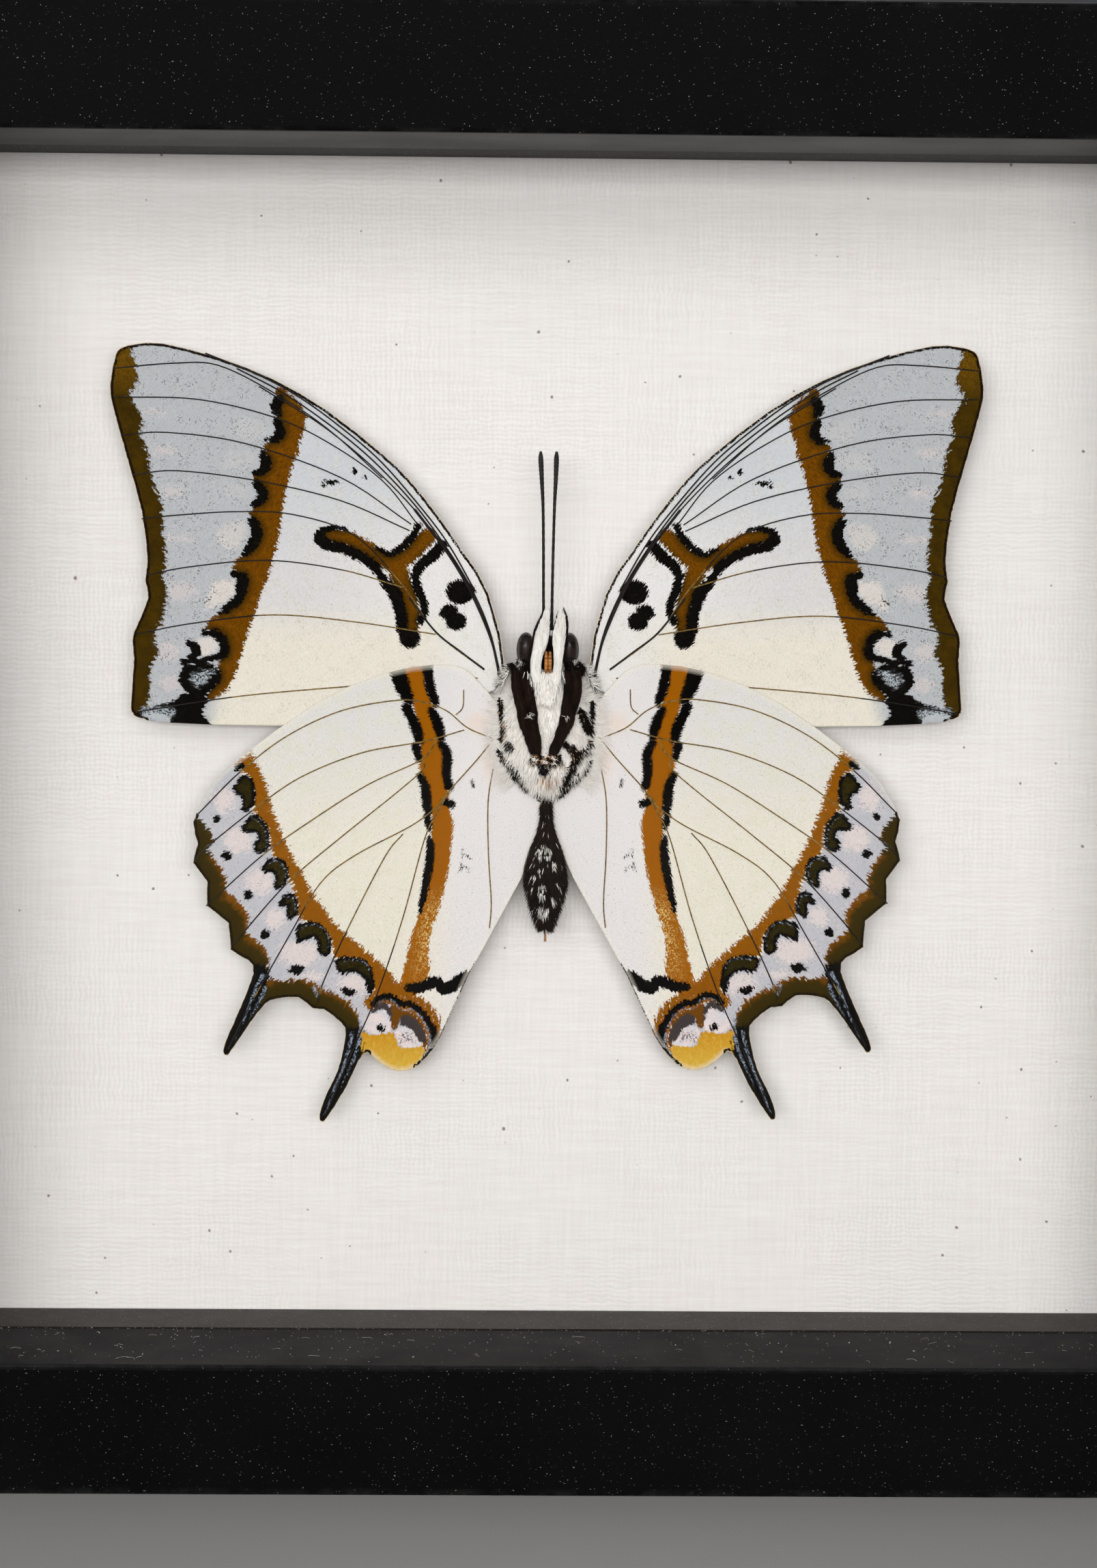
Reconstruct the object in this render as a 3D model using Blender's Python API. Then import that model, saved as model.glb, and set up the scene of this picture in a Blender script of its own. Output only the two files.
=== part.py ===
"""A framed butterfly specimen, standing on its bottom rail.

A deep black box frame of four mitred rails holds, from the front, a glass pane, four spacer
strips, a linen-covered backing card and a hardboard back panel, kept in by flat steel tabs. The
butterfly is set with its wings spread and its underside to the front. It is glued to a small
pad on the backing card and touches nothing else.

The front faces -Y, +Z is up, and the origin is the centre of the footprint. Lengths are in
metres; the butterfly's outlines and profiles are in millimetres.
"""

import math

import bmesh
import bpy
from mathutils import Matrix, Vector

for old in list(bpy.data.objects):
    bpy.data.objects.remove(old, do_unlink=True)

MM = 0.001
GAP = 0.0003  # clearance between pieces that touch
MITRE_GAP = 0.0002

FRAME_SIZE = 0.180
FRAME_DEPTH = 0.045
FACE_WIDTH = 0.016
LIP_DEPTH = 0.020  # front face to the ledge that the glass sits on
LEDGE_WIDTH = 0.006
EDGE_ROUND = 0.0006

GLASS_THICKNESS = 0.002
SPACER_DEPTH = 0.0106
CARD_THICKNESS = 0.0018
PANEL_THICKNESS = 0.003

FRONT_Y = -FRAME_DEPTH / 2
BACK_Y = FRAME_DEPTH / 2
CENTRE_Z = FRAME_SIZE / 2
POCKET_SIZE = FRAME_SIZE - 2 * (FACE_WIDTH - LEDGE_WIDTH)  # inside the ledges, wall to wall
GLASS_Y = FRONT_Y + LIP_DEPTH + GAP
SPACER_Y = GLASS_Y + GLASS_THICKNESS + GAP
CARD_Y = SPACER_Y + SPACER_DEPTH + GAP
PANEL_Y = CARD_Y + CARD_THICKNESS + GAP
TAB_Y = PANEL_Y + PANEL_THICKNESS + GAP

WING_ROOT_Z = 0.095  # height of the middle of the thorax
WING_THICKNESS = 0.00025
FOREWING_Y = 0.0058
HINDWING_Y = 0.0052
THORAX_Y = 0.0050


def material(name, color, roughness, metallic=0.0, transmission=0.0):
    found = bpy.data.materials.get(name)
    if found:
        return found
    made = bpy.data.materials.new(name)
    made.use_nodes = True
    shader = made.node_tree.nodes["Principled BSDF"]
    shader.inputs["Base Color"].default_value = (*color, 1)
    shader.inputs["Roughness"].default_value = roughness
    shader.inputs["Metallic"].default_value = metallic
    shader.inputs["Transmission Weight"].default_value = transmission
    return made


BLACK_PAINT = material("black_paint", (0.012, 0.012, 0.013), 0.45)
CLEAR_GLASS = material("clear_glass", (0.9, 0.95, 0.93), 0.02, transmission=1.0)
DARK_SPACER = material("dark_spacer", (0.03, 0.026, 0.024), 0.6)
LINEN_CARD = material("linen_card", (0.78, 0.75, 0.74), 0.85)
HARDBOARD = material("hardboard", (0.24, 0.14, 0.07), 0.8)
ZINC_STEEL = material("zinc_steel", (0.6, 0.6, 0.58), 0.35, metallic=1.0)
CREAM_FOAM = material("cream_foam", (0.75, 0.72, 0.62), 0.9)
WING_SCALES = material("wing_scales", (0.76, 0.76, 0.72), 0.75)
WHITE_FUR = material("white_fur", (0.8, 0.78, 0.75), 0.9)
DARK_BODY = material("dark_body", (0.03, 0.022, 0.018), 0.7)
EYE_BROWN = material("eye_brown", (0.05, 0.022, 0.012), 0.2)
TONGUE_BROWN = material("tongue_brown", (0.3, 0.12, 0.03), 0.5)


def keep(mesh, name, finish, smooth=False):
    """A bmesh as a finished object, its faces turned outwards."""
    bmesh.ops.recalc_face_normals(mesh, faces=mesh.faces)
    data = bpy.data.meshes.new(name)
    mesh.to_mesh(data)
    mesh.free()
    data.materials.append(finish)
    if smooth:
        data.shade_smooth()
        data.set_sharp_from_angle(angle=math.radians(40))
    made = bpy.data.objects.new(name, data)
    bpy.context.scene.collection.objects.link(made)
    return made


def box(name, low, high, finish):
    mesh = bmesh.new()
    bmesh.ops.create_cube(mesh, size=1)
    low, high = Vector(low), Vector(high)
    bmesh.ops.scale(mesh, vec=high - low, verts=mesh.verts)
    bmesh.ops.translate(mesh, vec=(low + high) / 2, verts=mesh.verts)
    return keep(mesh, name, finish)


def cutter(made):
    """Marks an object as a tool that shapes others and isn't part of the piece."""
    made.hide_render = True
    made.display_type = "WIRE"
    return made


def cut(made, tool):
    modifier = made.modifiers.new("cut_" + tool.name, "BOOLEAN")
    modifier.operation = "DIFFERENCE"
    modifier.object = tool


def plate(outline, thickness, middle_y):
    """A bmesh plate whose outline lists (x, z) corners, with its thickness along Y."""
    mesh = bmesh.new()
    front_y = middle_y - thickness / 2
    ring = [mesh.verts.new((x, front_y, z)) for x, z in outline]
    face = mesh.faces.new(ring)
    made = bmesh.ops.extrude_face_region(mesh, geom=[face])["geom"]
    raised = [part for part in made if isinstance(part, bmesh.types.BMVert)]
    bmesh.ops.translate(mesh, vec=(0, thickness, 0), verts=raised)
    return mesh


def rounded(points, steps):
    """A closed outline with steps points for each point given, along a smooth curve through them."""
    made = []
    count = len(points)
    for i in range(count):
        a, b, c, d = (Vector(points[(i + k) % count]) for k in (-1, 0, 1, 2))
        for step in range(steps):
            t = step / steps
            bend = 2 * b + (c - a) * t + (2 * a - 5 * b + 4 * c - d) * t**2
            made.append((bend + (3 * b - a - 3 * c + d) * t**3) / 2)
    return made


# Frame: four rails of one moulding with a deep lip, mitred at the corners.


def rail(name, turn):
    """The moulding's section runs round (distance in from the outer edge, depth). Each rail is made
    along the bottom and turned about the frame's middle."""
    wall = FACE_WIDTH - LEDGE_WIDTH
    ledge_y = FRONT_Y + LIP_DEPTH
    section = (
        (0, FRONT_Y),
        (FACE_WIDTH, FRONT_Y),
        (FACE_WIDTH, ledge_y),
        (wall, ledge_y),
        (wall, BACK_Y),
        (0, BACK_Y),
    )
    mesh = bmesh.new()
    ends = []
    for side in (-1, 1):
        corners = []
        for inward, y in section:
            half = FRAME_SIZE / 2 - inward - MITRE_GAP / 2
            corners.append(mesh.verts.new((side * half, y, inward - CENTRE_Z)))
        ends.append(mesh.faces.new(corners))
    edges = [edge for end in ends for edge in end.edges]
    bmesh.ops.bridge_loops(mesh, edges=edges)
    bmesh.ops.recalc_face_normals(mesh, faces=mesh.faces)
    outer_edges = [
        edge
        for edge in mesh.edges
        if abs(edge.verts[0].co.x - edge.verts[1].co.x) > FRAME_SIZE / 2 and edge.is_convex
    ]
    bmesh.ops.bevel(
        mesh,
        geom=outer_edges,
        offset=EDGE_ROUND,
        segments=3,
        profile=0.5,
        affect="EDGES",
        material=-1,
    )
    bmesh.ops.rotate(mesh, matrix=Matrix.Rotation(turn, 3, "Y"), verts=mesh.verts)
    bmesh.ops.translate(mesh, vec=(0, 0, CENTRE_Z), verts=mesh.verts)
    return keep(mesh, name, BLACK_PAINT)


RAILS = {}
for quarter, side_name in enumerate(("bottom", "left", "top", "right")):
    RAILS[side_name] = rail(f"frame_rail_{side_name}", quarter * math.pi / 2)


# Glass, card and panel: three square sheets dropped into the pocket from behind.


def sheet(name, front_y, thickness, finish):
    half = POCKET_SIZE / 2 - GAP
    low = (-half, front_y, CENTRE_Z - half)
    high = (half, front_y + thickness, CENTRE_Z + half)
    return box(name, low, high, finish)


sheet("glass_pane", GLASS_Y, GLASS_THICKNESS, CLEAR_GLASS)
sheet("backing_card", CARD_Y, CARD_THICKNESS, LINEN_CARD)
PANEL = sheet("back_panel", PANEL_Y, PANEL_THICKNESS, HARDBOARD)


# Spacers: four strips that hold the card away from the glass. The top and bottom ones run right
# across, and the side ones stand between them.

SPACER_THICKNESS = LEDGE_WIDTH - 2 * GAP


def spacer(name, side_x, side_z):
    outer = POCKET_SIZE / 2 - GAP
    inner = outer - SPACER_THICKNESS
    if side_z:
        x_range = (-outer, outer)
        z_range = sorted((side_z * inner, side_z * outer))
    else:
        x_range = sorted((side_x * inner, side_x * outer))
        z_range = (-inner + GAP, inner - GAP)
    low = (x_range[0], SPACER_Y, CENTRE_Z + z_range[0])
    high = (x_range[1], SPACER_Y + SPACER_DEPTH, CENTRE_Z + z_range[1])
    return box(name, low, high, DARK_SPACER)


spacer("spacer_bottom", 0, -1)
spacer("spacer_top", 0, 1)
spacer("spacer_left", -1, 0)
spacer("spacer_right", 1, 0)


# Tabs: two flat steel points in each rail, pushed into a kerf and lying across the back panel.

TAB_LENGTH = 0.015
TAB_WIDTH = 0.006
TAB_THICKNESS = 0.0006
TAB_IN_WOOD = 0.006
TAB_OFFSET = 0.040  # from the middle of the rail


def turned(mesh, turn):
    bmesh.ops.rotate(mesh, matrix=Matrix.Rotation(turn, 3, "Y"), verts=mesh.verts)
    bmesh.ops.translate(mesh, vec=(0, 0, CENTRE_Z), verts=mesh.verts)
    return mesh


def tab_outline(grow):
    """A strip along Z with a rounded inner end, for the bottom rail, grown all round by grow."""
    root_z = -POCKET_SIZE / 2 - TAB_IN_WOOD - grow
    half = TAB_WIDTH / 2 + grow
    tip_z = -POCKET_SIZE / 2 + TAB_LENGTH - TAB_IN_WOOD - half + grow
    outline = [(-half, root_z), (half, root_z)]
    for step in range(7):
        angle = math.pi * step / 6
        outline.append((half * math.cos(angle), tip_z + half * math.sin(angle)))
    return outline


TAB_MIDDLE_Y = TAB_Y + TAB_THICKNESS / 2
for quarter, (side_name, side_rail) in enumerate(RAILS.items()):
    for number, offset in enumerate((-TAB_OFFSET, TAB_OFFSET), 1):
        placed = [(x + offset, z) for x, z in tab_outline(0)]
        tab_mesh = turned(plate(placed, TAB_THICKNESS, TAB_MIDDLE_Y), quarter * math.pi / 2)
        keep(tab_mesh, f"tab_{side_name}_{number}", ZINC_STEEL)
        grown = [(x + offset, z) for x, z in tab_outline(GAP)]
        kerf_mesh = plate(grown, TAB_THICKNESS + 2 * GAP, TAB_MIDDLE_Y)
        kerf = keep(turned(kerf_mesh, quarter * math.pi / 2), f"kerf_{side_name}_{number}", ZINC_STEEL)
        cut(side_rail, cutter(kerf))


# Hanger: a sawtooth strip held on the back panel by two small nails.

HANGER_LENGTH = 0.044
HANGER_HEIGHT = 0.010
HANGER_THICKNESS = 0.0010
HANGER_Z = 0.146
TEETH = 9
TOOTH_HEIGHT = 0.0018
NAIL_OFFSET = 0.018
NAIL_RADIUS = 0.0008
NAIL_HEAD_RADIUS = 0.0018
NAIL_DEPTH = 0.0016
ROUND_SEGMENTS = 16

hanger_y = PANEL_Y + PANEL_THICKNESS + GAP
hanger_outline = [
    (-HANGER_LENGTH / 2, HANGER_HEIGHT * 0.25),
    (-HANGER_LENGTH / 2, -HANGER_HEIGHT * 0.25),
]
teeth_width = HANGER_LENGTH * 0.62
for tooth in range(2 * TEETH + 1):
    tooth_x = -teeth_width / 2 + teeth_width * tooth / (2 * TEETH)
    up = TOOTH_HEIGHT if tooth % 2 else 0
    hanger_outline.append((tooth_x, -HANGER_HEIGHT / 2 + up))
hanger_outline += [
    (HANGER_LENGTH / 2, -HANGER_HEIGHT * 0.25),
    (HANGER_LENGTH / 2, HANGER_HEIGHT * 0.25),
    (HANGER_LENGTH * 0.36, HANGER_HEIGHT / 2),
    (-HANGER_LENGTH * 0.36, HANGER_HEIGHT / 2),
]
hanger_mesh = plate(hanger_outline, HANGER_THICKNESS, hanger_y + HANGER_THICKNESS / 2)
bmesh.ops.translate(hanger_mesh, vec=(0, 0, HANGER_Z), verts=hanger_mesh.verts)
HANGER = keep(hanger_mesh, "hanger_strip", ZINC_STEEL)


def turned_pin(name, profile, x, finish):
    """A pin along Y: profile lists (radius, y) from its front end to its back end."""
    mesh = bmesh.new()
    points = [mesh.verts.new((radius, y, 0)) for radius, y in profile]
    edges = [mesh.edges.new(pair) for pair in zip(points, points[1:])]
    bmesh.ops.spin(
        mesh,
        geom=points + edges,
        axis=(0, 1, 0),
        cent=(0, 0, 0),
        angle=2 * math.pi,
        steps=ROUND_SEGMENTS,
        use_merge=True,
    )
    bmesh.ops.remove_doubles(mesh, verts=mesh.verts, dist=1e-6)
    bmesh.ops.translate(mesh, vec=(x, 0, HANGER_Z), verts=mesh.verts)
    return keep(mesh, name, finish, smooth=True)


for side_name, side in (("left", -1), ("right", 1)):
    head_y = hanger_y + HANGER_THICKNESS + GAP
    point_y = PANEL_Y + PANEL_THICKNESS - NAIL_DEPTH
    nail_profile = (
        (0, point_y),
        (NAIL_RADIUS, point_y),
        (NAIL_RADIUS, head_y),
        (NAIL_HEAD_RADIUS, head_y),
        (NAIL_HEAD_RADIUS * 0.7, head_y + 0.0006),
        (0, head_y + 0.0008),
    )
    turned_pin(f"hanger_nail_{side_name}", nail_profile, side * NAIL_OFFSET, ZINC_STEEL)
    hole_profile = (
        (0, point_y - GAP),
        (NAIL_RADIUS + GAP, point_y - GAP),
        (NAIL_RADIUS + GAP, head_y + GAP),
        (0, head_y + GAP),
    )
    hole = turned_pin(f"nail_hole_{side_name}", hole_profile, side * NAIL_OFFSET, ZINC_STEEL)
    cutter(hole)
    cut(HANGER, hole)
    cut(PANEL, hole)


# Butterfly: outlines list (out from the body's axis, up from the wing root) in millimetres.

FOREWING_OUTLINE = [
    (5.3, 4.0), (7.5, 14.0), (10.7, 19.2), (14.2, 24.1), (17.7, 28.4), (21.1, 31.6),
    (28.1, 37.0), (35.0, 40.9), (41.9, 43.5), (48.8, 45.2), (52.2, 45.1), (54.0, 44.6),
    (54.8, 43.7), (55.5, 39.9), (55.1, 37.0), (53.3, 30.5), (51.5, 23.9), (50.8, 17.9),
    (51.1, 15.3), (50.7, 13.1), (52.3, 9.2), (52.7, 7.6), (52.5, 5.3), (52.9, -0.7),
    (52.6, -1.5), (52.0, -2.1), (47.9, -2.7), (34.9, -3.0), (21.0, -2.3), (8.8, 0.9),
]

HINDWING_OUTLINE = [
    (6.4, 0.1), (8.8, 2.9), (10.6, 4.5), (14.0, 5.0), (21.1, 3.7), (29.6, -0.2),
    (39.1, -7.2), (42.6, -10.7), (44.9, -15.3), (44.3, -18.0), (44.9, -20.5), (43.1, -22.9),
    (43.1, -26.0), (40.4, -28.2), (40.1, -31.6), (37.9, -32.9), (37.2, -34.7), (39.3, -40.0),
    (40.8, -43.6), (41.0, -44.8), (40.6, -45.2), (40.1, -44.8), (37.5, -40.9), (35.6, -38.5), (34.3, -37.9), (31.4, -37.7),
    (29.6, -39.1), (28.2, -39.2), (25.9, -41.0), (25.4, -42.5), (26.3, -46.8), (27.6, -49.6),
    (28.5, -51.9), (28.7, -53.3), (28.3, -53.7), (27.7, -53.2), (25.2, -49.1), (23.7, -45.8), (22.6, -44.7), (21.0, -46.0), (18.8, -47.1),
    (16.0, -46.3), (13.3, -42.7), (9.8, -34.8), (3.2, -22.4), (0.8, -16.5), (0.3, -13.8),
    (1.8, -10.4), (4.2, -6.9), (5.7, -2.5),
]

OUTLINE_STEPS = 2
RIGHT_FOREWING_TURN = math.radians(0.7)  # the right wings were set a touch higher
RIGHT_HINDWING_TURN = math.radians(1.2)
BODY_CLEARANCE = 0.00035


def ball(name, centre, half_sizes, finish, lean=0.0):
    """An ellipsoid, leaning about Y."""
    mesh = bmesh.new()
    bmesh.ops.create_uvsphere(mesh, u_segments=20, v_segments=12, radius=1)
    bmesh.ops.scale(mesh, vec=half_sizes, verts=mesh.verts)
    bmesh.ops.rotate(mesh, matrix=Matrix.Rotation(lean, 3, "Y"), verts=mesh.verts)
    bmesh.ops.translate(mesh, vec=centre, verts=mesh.verts)
    return keep(mesh, name, finish, smooth=True)


THORAX_CENTRE = Vector((0, THORAX_Y, WING_ROOT_Z - 3.7 * MM))
THORAX_HALF = Vector((5.6 * MM, 3.3 * MM, 7.6 * MM))
ball("thorax", THORAX_CENTRE, THORAX_HALF, WHITE_FUR)
grown_half = THORAX_HALF + Vector((BODY_CLEARANCE,) * 3)
THORAX_ROOM = cutter(ball("thorax_room", THORAX_CENTRE, grown_half, WHITE_FUR))

ABDOMEN_Y = 0.0042
ABDOMEN_PROFILE = (  # (height over the wing root, radius) in millimetres, waist to tip
    (-11.9, 0.0), (-12.0, 0.7), (-14.6, 0.65), (-16.4, 0.95), (-18.4, 1.9), (-20.4, 2.5),
    (-22.2, 2.75), (-24.2, 2.3), (-26.3, 1.7), (-27.8, 0.9), (-28.3, 0.3), (-29.6, 0.12),
    (-29.7, 0.0),
)


def abdomen(name, grow):
    mesh = bmesh.new()
    points = []
    for height, radius in ABDOMEN_PROFILE:
        wide = radius * MM + (grow if radius else 0)
        points.append(mesh.verts.new((wide, 0, WING_ROOT_Z + height * MM)))
    edges = [mesh.edges.new(pair) for pair in zip(points, points[1:])]
    bmesh.ops.spin(
        mesh,
        geom=points + edges,
        axis=(0, 0, 1),
        cent=(0, 0, 0),
        angle=2 * math.pi,
        steps=ROUND_SEGMENTS,
        use_merge=True,
    )
    bmesh.ops.remove_doubles(mesh, verts=mesh.verts, dist=1e-6)
    bmesh.ops.translate(mesh, vec=(0, ABDOMEN_Y, 0), verts=mesh.verts)
    return keep(mesh, name, DARK_BODY, smooth=True)


abdomen("abdomen", 0)
ABDOMEN_ROOM = cutter(abdomen("abdomen_room", BODY_CLEARANCE))


def wing(name, outline, side, turn, middle_y):
    """A wing on one side of the body: side is -1 for left and 1 for right."""
    swing = Matrix.Rotation(turn, 2)
    places = []
    for point in rounded(outline, OUTLINE_STEPS):
        out, up = swing @ point
        places.append((side * out * MM, WING_ROOT_Z + up * MM))
    made = keep(plate(places, WING_THICKNESS, middle_y), name, WING_SCALES)
    cut(made, THORAX_ROOM)
    cut(made, ABDOMEN_ROOM)


wing("forewing_left", FOREWING_OUTLINE, -1, 0, FOREWING_Y)
wing("forewing_right", FOREWING_OUTLINE, 1, RIGHT_FOREWING_TURN, FOREWING_Y)
wing("hindwing_left", HINDWING_OUTLINE, -1, 0, HINDWING_Y)
wing("hindwing_right", HINDWING_OUTLINE, 1, RIGHT_HINDWING_TURN, HINDWING_Y)


def body_point(out, up, y):
    return Vector((out * MM, y * MM, WING_ROOT_Z + up * MM))


ball("head", body_point(0, 6.6, 4.6), Vector((1.5, 2.1, 2.3)) * MM, WHITE_FUR)
for side_name, side in (("left", -1), ("right", 1)):
    ball(f"eye_{side_name}", body_point(side * 2.75, 7.0, 3.6), Vector((0.95, 1.5, 1.9)) * MM, EYE_BROWN)


def limb(name, stations, finish):
    """A tapering limb: stations list (out, up, y, radius) in millimetres along its middle line."""
    curve = bpy.data.curves.new(name, "CURVE")
    curve.dimensions = "3D"
    curve.bevel_depth = MM
    curve.bevel_resolution = 2
    curve.use_fill_caps = True
    line = curve.splines.new("POLY")
    line.points.add(len(stations) - 1)
    for point, (out, up, y, radius) in zip(line.points, stations):
        point.co = (*body_point(out, up, y), 1)
        point.radius = radius
    curve.materials.append(finish)
    made = bpy.data.objects.new(name, curve)
    bpy.context.scene.collection.objects.link(made)
    return made


for side_name, side in (("left", -1), ("right", 1)):
    limb(
        f"palp_{side_name}",
        (
            (side * 1.05, 4.3, 1.6, 0.55),
            (side * 1.15, 6.6, 1.3, 0.8),
            (side * 1.05, 9.3, 1.3, 0.75),
            (side * 0.9, 11.3, 1.5, 0.45),
            (side * 0.75, 12.7, 1.7, 0.1),
        ),
        WHITE_FUR,
    )
    limb(
        f"antenna_{side_name}",
        (
            (side * 0.55, 9.5, 4.4, 0.18),
            (side * 0.6, 14.0, 3.4, 0.17),
            (side * 0.7, 20.0, 2.6, 0.17),
            (side * 0.75, 26.0, 2.2, 0.19),
            (side * 0.95, 29.0, 2.1, 0.27),
            (side * 1.05, 31.6, 2.1, 0.3),
            (side * 1.1, 32.1, 2.1, 0.16),
        ),
        DARK_BODY,
    )
    limb(
        f"leg_{side_name}",
        (
            (side * 3.6, 3.9, 2.2, 0.5),
            (side * 3.0, 1.0, 1.05, 0.6),
            (side * 2.2, -3.0, 0.75, 0.55),
            (side * 1.2, -5.6, 0.75, 0.35),
        ),
        DARK_BODY,
    )

limb("proboscis", ((0, 4.5, 1.0, 0.25), (0, 6.2, 0.8, 0.28), (0, 8.1, 0.9, 0.2)), TONGUE_BROWN)

# Pad: the blob of cream foam that the thorax is glued to.

PAD_HALF = Vector((0.0028, 0.0, 0.0040))
pad_low = THORAX_CENTRE - PAD_HALF
pad_high = THORAX_CENTRE + PAD_HALF
pad_low.y = THORAX_Y + THORAX_HALF.y + GAP
pad_high.y = CARD_Y - GAP
box("mounting_pad", pad_low, pad_high, CREAM_FOAM)
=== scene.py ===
import math
import random

import bmesh
import bpy
import numpy as np
from mathutils import Matrix, Vector


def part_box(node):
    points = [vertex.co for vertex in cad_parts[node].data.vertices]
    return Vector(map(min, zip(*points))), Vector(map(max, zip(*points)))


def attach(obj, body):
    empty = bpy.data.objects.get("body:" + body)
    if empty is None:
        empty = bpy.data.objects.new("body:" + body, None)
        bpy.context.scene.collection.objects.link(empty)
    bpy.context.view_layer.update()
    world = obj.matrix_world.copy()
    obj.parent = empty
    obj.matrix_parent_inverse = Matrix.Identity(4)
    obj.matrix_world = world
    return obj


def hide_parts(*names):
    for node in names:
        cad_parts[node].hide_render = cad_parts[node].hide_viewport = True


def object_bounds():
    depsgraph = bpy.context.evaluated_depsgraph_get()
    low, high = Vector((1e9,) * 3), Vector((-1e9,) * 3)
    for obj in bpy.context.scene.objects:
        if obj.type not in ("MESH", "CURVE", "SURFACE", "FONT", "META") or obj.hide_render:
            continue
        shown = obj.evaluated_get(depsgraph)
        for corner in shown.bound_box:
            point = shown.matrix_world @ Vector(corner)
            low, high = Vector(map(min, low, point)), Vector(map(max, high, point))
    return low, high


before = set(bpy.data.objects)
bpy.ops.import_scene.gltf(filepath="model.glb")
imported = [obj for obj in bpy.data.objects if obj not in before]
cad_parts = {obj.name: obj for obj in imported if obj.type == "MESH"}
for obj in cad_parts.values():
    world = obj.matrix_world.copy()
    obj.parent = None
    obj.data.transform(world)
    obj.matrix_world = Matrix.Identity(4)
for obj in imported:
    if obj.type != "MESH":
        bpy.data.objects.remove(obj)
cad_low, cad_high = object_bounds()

# Camera: level with the upper part of the frame, looking slightly down at it from a hand's
# breadth under half a metre.

MM = 0.001

CAMERA_PLACE = Vector((-7.85, -452.0, 118.9)) * MM
CAMERA_TURN = math.radians(1.02)
CAMERA_TILT = math.radians(-4.26)
CAMERA_ROLL = math.radians(0.51)

camera_data = bpy.data.cameras.new("camera")
camera_data.sensor_width = 36
camera_data.lens = 82.58
camera_data.clip_start = 0.01
camera = bpy.data.objects.new("camera", camera_data)
bpy.context.scene.collection.objects.link(camera)
looking = Vector(
    (
        math.sin(CAMERA_TURN) * math.cos(CAMERA_TILT),
        math.cos(CAMERA_TURN) * math.cos(CAMERA_TILT),
        math.sin(CAMERA_TILT),
    )
)
sideways = Vector((math.cos(CAMERA_TURN), -math.sin(CAMERA_TURN), 0))
upward = sideways.cross(looking)
camera_axes = Matrix((sideways, upward, -looking)).transposed()
camera_axes = camera_axes @ Matrix.Rotation(CAMERA_ROLL, 3, "Z")
camera.matrix_world = Matrix.Translation(CAMERA_PLACE) @ camera_axes.to_4x4()
bpy.context.scene.camera = camera
bpy.context.scene.view_settings.view_transform = "Standard"


# Frame rails: four lengths of one deep moulding, mitred and sprayed satin black. The paint has a fine orange
# peel and holds dust on its upward faces. It is painted a little paler in patches along the front arrises,
# partly as rubbed paint and partly as a painted highlight.


def display(red, green, blue):
    """A colour given as it looks on a screen, 0 to 255, as the linear colour that shaders use."""
    linear = []
    for value in (red, green, blue):
        share = value / 255
        linear.append(share / 12.92 if share <= 0.04045 else ((share + 0.055) / 1.055) ** 2.4)
    return (*linear, 1)


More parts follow.
